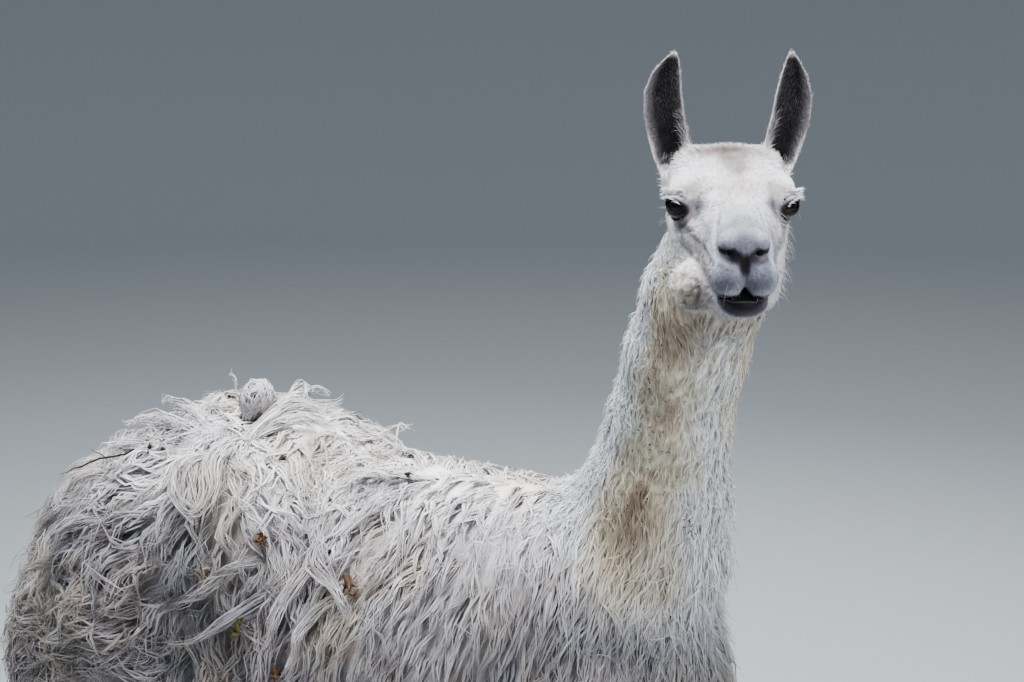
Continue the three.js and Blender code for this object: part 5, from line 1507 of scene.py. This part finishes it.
# the rounded ball of felted wool on top of the hump
hit = on_coat(258, 415)
if hit is not None:
    t_b = float((hit - CAM_L) @ pixel_ray(258, 415))
    mid = CAM_L + pixel_ray(256, 401) * (t_b + 4)
    m = max(8, int(120 * LESS))
    a_, b_ = unit(rng.standard_normal((m, 3))), unit(rng.standard_normal((m, 3)))
    b_ = unit(b_ - a_ * (a_ * b_).sum(1, keepdims=True))
    th = np.linspace(0, 2.3, 9)
    R_ = 22 + 4 * rng.random(m)
    dirs = a_[:, None] * np.cos(th)[None, :, None] + b_[:, None] * np.sin(th)[None, :, None]
    P = mid + dirs * (R_[:, None, None] * V(1.0, 1.0, 1.15))
    P = P + 5 * np.stack([noise(P.reshape(-1, 3), 9, s_) for s_ in (5, 6, 7)], -1).reshape(P.shape)
    C, F = strands(P, dirs, 5, 5, 11 + 4 * rng.random(m), 7, 1.5, 1.0, 3.0, 1.1, 0.1, 0.2, 1.0)
    Cu, Fu = strands(mid + (P - mid) * 0.86, dirs, 1, 5, 0.5, 0.5, 0.3, 1.0, 0.5, 1.0, 0.0, 0.0, 1.0)
    # painted light: the ball's tufts lifted brighter and towards white
    coat("wool_ball", C, F, 0.85 * (0.7 + 0.6 * rng.random(len(C))), body_uv(C[:, 0]), shade=(1.1, 1.1), white=0.3)
    coat("wool_ball_under", Cu, Fu, np.full(len(Cu), 6.0), body_uv(Cu[:, 0]), flat=0.4, shade=(0.84, 0.98))

    k = max(10, int(170 * LESS))
    d_ = unit(rng.standard_normal((k, 3)))
    t_ = unit(np.cross(d_, rng.standard_normal((k, 3))))
    C, F = hairs(mid + d_ * 19, d_, t_, 9 + 7 * rng.random(k), 0.8, 0.2, 3, 0.5, 0.9 * rng.standard_normal(k))
    # painted light: the fuzz lifted brighter and towards white
    coat("ball_fuzz", C, F, 0.5 * (0.7 + 0.6 * rng.random(k)), body_uv(C[:, 0]), shade=(1.1, 1.1), white=0.3)
    # grains caught in it
    k = max(4, int(26 * LESS))
    d_ = unit(rng.standard_normal((k, 3)) + V(-0.8, -0.4, 0.4))
    t_ = unit(np.cross(d_, rng.standard_normal((k, 3))))
    C, F = hairs(mid + d_ * 22, d_, t_, 4 + 3 * rng.random(k), 0.1, 0.0, 2, 0.5)
    coat("ball_specks", C, F, 1.1 + 0.8 * rng.random(k), body_uv(C[:, 0]), slot="debris", shade=(1, 1), colour=srgb(96, 78, 60), soft=0.3)


# ---- straw and leaf caught in the wool: twig, scraps, husk and specks
def scrap(x, y, count, size, colour, thick=0.3, spread=0.6):
    hit = on_coat(x, y)
    if hit is None:
        return None
    g, _ = slope(outer, hit[None], 2.0)
    n_ = unit(g)[0]
    k = max(3, int(count))
    t_ = rng.standard_normal((k, 3))
    t_ = unit(t_ - (t_ @ n_)[:, None] * n_ * (1 - 0.35))
    base = hit + n_ * 3 + rng.standard_normal((k, 3)) * size * 0.22 * spread - t_ * size * 0.4
    C, F = hairs(base, np.tile(n_, (k, 1)), t_, size * (0.7 + 0.6 * rng.random(k)), 0.35, -0.25, 4, 1.0, 0.8 * rng.standard_normal(k))
    return C, F, np.full(k, size * 0.24) * (0.6 + 0.7 * rng.random(k)), np.tile(colour, (k, 1)) * (0.7 + 0.6 * rng.random(k))[:, None], thick


BROWN_LEAF, OLIVE, HUSK, GRIT = srgb(104, 80, 60), srgb(112, 108, 76), srgb(136, 124, 112), srgb(66, 58, 50)
SCRAPS = [(259, 539, 9, 15, BROWN_LEAF), (263, 545, 5, 10, srgb(96, 70, 50)), (349, 582, 10, 16, srgb(112, 78, 50)), (352, 592, 6, 12, srgb(84, 62, 46)), (277, 673, 9, 17, BROWN_LEAF),
          (240, 622, 8, 20, OLIVE), (236, 634, 7, 16, srgb(108, 100, 66)), (283, 459, 5, 11, srgb(74, 72, 52)), (408, 476, 6, 12, GRIT), (400, 478, 4, 9, GRIT), (330, 501, 4, 8, srgb(120, 104, 88)), (203, 572, 12, 20, HUSK), (150, 447, 4, 10, GRIT), (162, 440, 4, 8, GRIT), (306, 536, 4, 7, srgb(160, 120, 100))]
rows = [scrap(x, y, k_, s_, c_) for x, y, k_, s_, c_ in SCRAPS]
kinds = ["brown", "brown", "brown", "brown", "brown", "olive", "olive"]
for tag, colour_ in (("brown", BROWN_LEAF), ("olive", OLIVE), ("husk", HUSK), ("grit", GRIT)):
    mine = [q_ for i_, (q_, sp) in enumerate(zip(rows, SCRAPS)) if q_ is not None and (kinds[i_] if i_ < 7 else "husk" if sp[4] is HUSK else "grit") == tag]
    if mine:
        C, F, rad = (np.concatenate([q_[i] for q_ in mine]) for i in range(3))
        coat("debris_" + tag, C, F, rad, body_uv(C[:, 0]), slot="debris", flat=0.3, shade=(0.75, 1.1), colour=colour_, soft=0.4)
# the twig, lying across the wool and out past the rump
hit = on_coat(127, 452)
if hit is not None:
    t_w = float((hit - CAM_L) @ pixel_ray(127, 452)) - 8
    line = [(134, 449), (124, 453), (112, 456), (100, 459), (90, 463), (82, 467), (74, 468), (66, 471), (55, 475)]
    P = np.array([CAM_L + pixel_ray(x, y) * (t_w + 0.0 * i) for i, (x, y) in enumerate(line)])
    side = [(106, 458), (100, 454), (94, 452), (90, 448)]
    Q = np.array([CAM_L + pixel_ray(x, y) * t_w for x, y in side])
    up_ = np.tile(V(-0.6, -0.3, 0.7), (len(P), 1))
    coat("debris_twig", P[None], unit(up_)[None], np.array([2.0]), body_uv(P[:1]), slot="debris", shade=(0.8, 1.1), colour=srgb(74, 60, 48), soft=0.1)
    coat("debris_twig_side", Q[None], unit(up_[:4])[None], np.array([1.1]), body_uv(Q[:1]), slot="debris", shade=(0.8, 1.1), colour=srgb(74, 60, 48), soft=0.1)
# specks on the neck
spots = [(645 + 14 * rng.standard_normal(), 440 + 60 * rng.standard_normal()) for _ in range(46)] + [(689 + 4 * rng.standard_normal(), 527 + 6 * rng.standard_normal()) for _ in range(14)] + [(626, 505), (627, 509), (660, 570), (668, 585)]
rows = []
for x, y in spots:
    hit = on_coat(x, y)
    if hit is not None:
        g, _ = slope(outer, hit[None], 2.0)
        rows.append((hit - unit(g)[0] * 1.0, unit(g)[0]))
if rows:
    pp, nn = np.array([a_[0] for a_ in rows]), np.array([a_[1] for a_ in rows])
    t_ = unit(np.cross(nn, rng.standard_normal(nn.shape)))
    C, F = hairs(pp, nn, t_, 3 + 3.5 * rng.random(len(pp)) ** 2, 0.3, 0.0, 2, 0.5)
    coat("debris_specks", C, F, 0.7 + 0.7 * rng.random(len(pp)), neck_uv(C[:, 0]), slot="debris", shade=(1, 1), colour=srgb(78, 66, 54), soft=0.3)


# =====================================================================================
# eyes and toenails
# =====================================================================================
def ball(name, centre, axis, r, colour, bulge=0.0, rings=44, seg_=72):
    """A ball with its rings round the axis; colour(theta, phi) gives linear colours."""
    th = np.linspace(0, math.pi, rings + 1)[1:-1]
    ph = np.linspace(0, 2 * math.pi, seg_ + 1)[:-1]
    axis = unit(np.asarray(axis, float))
    e1 = unit(np.cross(np.array([0, 0, 1.0]), axis))
    e2 = np.cross(axis, e1)
    T, P = np.meshgrid(th, ph, indexing="ij")
    R = r + bulge * np.clip(1 - (T / 0.62) ** 2, 0, 1)
    v = (np.cos(T) * R)[..., None] * axis + (np.sin(T) * R)[..., None] * (np.cos(P)[..., None] * e1 + np.sin(P)[..., None] * e2)
    v = np.concatenate([[axis * (r + bulge)], v.reshape(-1, 3), [-axis * r]]) + centre
    idx = np.arange(len(th) * seg_).reshape(len(th), seg_) + 1
    q = np.stack([idx[:-1], idx[1:], np.roll(idx, -1, 1)[1:], np.roll(idx, -1, 1)[:-1]], -1).reshape(-1, 4)
    top = np.stack([np.zeros(seg_, int), idx[0], np.roll(idx[0], -1)], 1)
    end = len(v) - 1
    bot = np.stack([np.full(seg_, end), np.roll(idx[-1], -1), idx[-1]], 1)
    ob = new_object(name, place(v), [q, top, bot])
    tt = np.concatenate([[0], T.ravel(), [math.pi]])
    pp = np.concatenate([[0], P.ravel(), [0]])
    paint(ob, colour(tt, pp, v))
    return ob


def eye_colour(t, p, v):
    """Nearly black: a flat-lying oblong pupil in a very dark brown iris, brown-grey beyond."""
    x, y = t * np.cos(p), t * np.sin(p)
    n = noise(np.stack([p * 14, t * 4, 0 * t], 1), 1.0, 3)
    iris = mix(np.tile(srgb(22, 15, 12), (len(t), 1)), srgb(44, 30, 20), 0.5 + 0.5 * n)
    c = mix(iris, srgb(16, 11, 10), ramp(t, 0.50, 0.60))
    c = mix(c, srgb(30, 22, 20), ramp(t, 0.66, 0.9))
    pup = (x / 0.34) ** 2 + (y / 0.17) ** 2
    return np.clip(mix(c, srgb(5, 5, 6), 1 - ramp(pup, 0.8, 1.25)), 0.0015, 1)


m_eye, nt, b = material("eye_wet", 0.08, Specular_IOR_Level=0.4, Coat_Weight=0.35, Coat_Roughness=0.02)
col = node(nt, "ShaderNodeAttribute", attribute_name="Col")
tc = node(nt, "ShaderNodeTexCoord")
ns = node(nt, "ShaderNodeTexNoise", Scale=900.0, Detail=3.0)
nt.links.new(tc.outputs["Object"], ns.inputs["Vector"])
mr = node(nt, "ShaderNodeMapRange")
mr.inputs["To Min"].default_value = 0.8
mr.inputs["To Max"].default_value = 1.2
nt.links.new(ns.outputs["Fac"], mr.inputs["Value"])
sc_ = node(nt, "ShaderNodeVectorMath", operation="SCALE")
nt.links.new(col.outputs["Color"], sc_.inputs[0])
nt.links.new(mr.outputs["Result"], sc_.inputs["Scale"])
nt.links.new(sc_.outputs["Vector"], b.inputs["Base Color"])

m_horn, nt, b = material("horn", 0.42, Specular_IOR_Level=0.45)
tc = node(nt, "ShaderNodeTexCoord")
mp = node(nt, "ShaderNodeMapping")
mp.inputs["Scale"].default_value = (90, 420, 90)
ns = node(nt, "ShaderNodeTexNoise", Scale=1.0, Detail=5.0)
nt.links.new(tc.outputs["Object"], mp.inputs["Vector"])
nt.links.new(mp.outputs["Vector"], ns.inputs["Vector"])
cr = node(nt, "ShaderNodeValToRGB")
cr.color_ramp.elements[0].color = (*srgb(38, 33, 30), 1)
cr.color_ramp.elements[1].color = (*srgb(96, 84, 72), 1)
nt.links.new(ns.outputs["Fac"], cr.inputs["Fac"])
nt.links.new(cr.outputs["Color"], b.inputs["Base Color"])
bp = node(nt, "ShaderNodeBump", Strength=0.6, Distance=0.0006)
nt.links.new(ns.outputs["Fac"], bp.inputs["Height"])
nt.links.new(bp.outputs["Normal"], b.inputs["Normal"])

for sign, name in ((-1, "right"), (1, "left")):
    w3 = V(0.66, 0.75 * sign, 0.0)
    lo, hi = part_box(f"eye_{name}")
    cen = 0.5 * (np.array(lo) + np.array(hi)) * 1000 - SHIFT
    ob = ball(f"eyeball_{name}", cen, unit(w3) @ HM.T, EYE_R - 0.05, eye_colour, 0.5)
    ob.data.materials.append(m_eye)
    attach(ob, "root")
    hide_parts(f"eye_{name}")

for nm in [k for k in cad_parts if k.startswith("nail_")]:
    lo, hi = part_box(nm)
    c0 = 0.5 * (np.array(lo) + np.array(hi)) * 1000 - SHIFT
    rx, ry, rz = 0.5 * (np.array(hi) - np.array(lo)) * 1000
    ob = ball(nm + "_horn", V(0, 0, 0), V(0, -1, 0), 1.0, lambda t, p, v: np.tile(srgb(70, 60, 52), (len(t), 1)), 0.0, 26, 30)
    me = ob.data
    co = np.empty(len(me.vertices) * 3, np.float32)
    me.vertices.foreach_get("co", co)
    v = co.reshape(-1, 3).astype(float) * 1000 - SHIFT
    ahead = np.clip(-v[:, 1], -1, 1)
    # a blunt curved claw: narrower and lower to the tip, with growth rings
    v[:, 0] *= 1 - 0.30 * ramp(ahead, -0.2, 1)
    v[:, 2] = v[:, 2] * (1 - 0.22 * ramp(ahead, 0, 1)) - 0.20 * ramp(ahead, -0.1, 1.0) * (1 - v[:, 2] ** 2)
    v *= (1 + 0.018 * np.sin(v[:, 1:2] * 26)) * 0.985
    v = v * V(rx, ry, rz) + c0
    me.vertices.foreach_set("co", place(v).astype(np.float32).ravel())
    me.update()
    me.materials.append(m_horn)
    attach(ob, "root")
    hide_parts(nm)


# =====================================================================================
# coat material
# =====================================================================================
def coat_material(name, rough, sheen, low=0.62, high=1.16):
    m, nt, b = material(name, rough, Specular_IOR_Level=0.3, Sheen_Weight=sheen, Sheen_Roughness=0.45, Subsurface_Weight=0.0)
    col = node(nt, "ShaderNodeAttribute", attribute_name="Col")
    uvn = node(nt, "ShaderNodeUVMap", uv_map="fibre")
    mp = node(nt, "ShaderNodeMapping")
    mp.inputs["Scale"].default_value = (0.3, 0.016, 1.0)
    nt.links.new(uvn.outputs["UV"], mp.inputs["Vector"])
    ns = node(nt, "ShaderNodeTexNoise", Scale=1.0, Detail=4.0)
    nt.links.new(mp.outputs["Vector"], ns.inputs["Vector"])
    ramp_ = node(nt, "ShaderNodeMapRange")
    ramp_.inputs["From Min"].default_value = 0.3
    ramp_.inputs["From Max"].default_value = 0.7
    ramp_.inputs["To Min"].default_value = low
    ramp_.inputs["To Max"].default_value = high
    nt.links.new(ns.outputs["Fac"], ramp_.inputs["Value"])
    mul = node(nt, "ShaderNodeVectorMath", operation="SCALE")
    nt.links.new(col.outputs["Color"], mul.inputs[0])
    nt.links.new(ramp_.outputs["Result"], mul.inputs["Scale"])
    nt.links.new(mul.outputs["Vector"], b.inputs["Base Color"])
    bp = node(nt, "ShaderNodeBump", Strength=0.8, Distance=0.003)
    nt.links.new(ns.outputs["Fac"], bp.inputs["Height"])
    nt.links.new(bp.outputs["Normal"], b.inputs["Normal"])
    return m


M_COAT = {"wool": coat_material("wool_fibre", 0.8, 0.3), "short_coat": coat_material("short_hair", 0.7, 0.2, 0.8, 1.12), "debris": coat_material("dry_leaf", 0.85, 0.0, 0.5, 1.4)}
FLESH = [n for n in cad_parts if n.split("_")[0] in ("trunk", "neck", "head", "tail", "ear", "leg", "foot")]
for ob, slot_ in PIECES:
    ob.data.materials.append(M_COAT[slot_])
    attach(ob, "root")
    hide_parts(*FLESH)


# =====================================================================================
# skin material, floor and light
# =====================================================================================
m_skin, nt, b = material("hide_under_wool", 0.72, Specular_IOR_Level=0.25, Sheen_Weight=0.25, Sheen_Roughness=0.5)
col = node(nt, "ShaderNodeAttribute", attribute_name="Col")
tc = node(nt, "ShaderNodeTexCoord")
mp = node(nt, "ShaderNodeMapping")
mp.inputs["Scale"].default_value = (430, 430, 150)
ns = node(nt, "ShaderNodeTexNoise", Scale=1.0, Detail=5.0)
nt.links.new(tc.outputs["Object"], mp.inputs["Vector"])
nt.links.new(mp.outputs["Vector"], ns.inputs["Vector"])
mr = node(nt, "ShaderNodeMapRange")
for k_, v_ in (("From Min", 0.3), ("From Max", 0.7), ("To Min", 0.84), ("To Max", 1.1)):
    mr.inputs[k_].default_value = v_
nt.links.new(ns.outputs["Fac"], mr.inputs["Value"])
sc_ = node(nt, "ShaderNodeVectorMath", operation="SCALE")
nt.links.new(col.outputs["Color"], sc_.inputs[0])
nt.links.new(mr.outputs["Result"], sc_.inputs["Scale"])
nt.links.new(sc_.outputs["Vector"], b.inputs["Base Color"])
bp = node(nt, "ShaderNodeBump", Strength=0.6, Distance=0.0014)
nt.links.new(ns.outputs["Fac"], bp.inputs["Height"])
nt.links.new(bp.outputs["Normal"], b.inputs["Normal"])
skin_ob.data.materials.append(m_skin)
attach(skin_ob, "root")
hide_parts(*[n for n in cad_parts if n.split("_")[0] in ("trunk", "neck", "head", "tail", "ear", "leg", "foot")])

# floor that curves up far away into a plain backdrop
rr_ = np.concatenate([[0.0], np.linspace(2, 10, 9), 10 + 5 * np.sin(np.linspace(0.1, 1.5708, 12))])
zz_ = np.concatenate([[0.0], np.zeros(9), 5 * (1 - np.cos(np.linspace(0.1, 1.5708, 12)))])
an_ = np.linspace(0, 2 * math.pi, 97)[:-1]
gv = np.stack([np.outer(rr_, np.cos(an_)), np.outer(rr_, np.sin(an_)), np.repeat(zz_[:, None], 96, 1)], -1).reshape(-1, 3)
gi = np.arange(len(rr_) * 96).reshape(len(rr_), 96)
gq = np.stack([gi[:-1], gi[1:], np.roll(gi, -1, 1)[1:], np.roll(gi, -1, 1)[:-1]], -1).reshape(-1, 4)
ground = new_object("floor", gv, gq)
m_floor, nt, b = material("floor_pale", 0.95)
b.inputs["Base Color"].default_value = (0.36, 0.37, 0.37, 1)
ground.data.materials.append(m_floor)
world = bpy.data.worlds.new("studio")
bpy.context.scene.world = world
world.use_nodes = True
world.node_tree.nodes["Background"].inputs[0].default_value = (0.80, 0.88, 1.0, 1)
world.node_tree.nodes["Background"].inputs[1].default_value = 0.5


def lamp(name, at, to, size, power, colour=(1, 1, 1)):
    li = bpy.data.lights.new(name, "AREA")
    li.shape = "DISK"
    li.size = size
    li.energy = power
    li.color = colour
    ob = bpy.data.objects.new(name, li)
    bpy.context.scene.collection.objects.link(ob)
    ob.location = at
    ob.rotation_euler = (Vector(to) - Vector(at)).to_track_quat("-Z", "Y").to_euler()
    return ob


lamp("key", (-0.4, 0.2, 4.8), (0, 0, 1.0), 3.2, 400, (0.90, 0.95, 1.0))
lamp("front", (-1.2, -4.4, 2.4), (0.05, -0.45, 1.2), 2.6, 140, (0.93, 0.96, 1.0))
lamp("rim", (3.0, 0.2, 3.0), (0, 0, 1.1), 2.0, 60, (0.95, 0.98, 1.0))
bpy.context.scene.view_settings.look = "AgX - Medium High Contrast"

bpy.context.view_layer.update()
say("done")
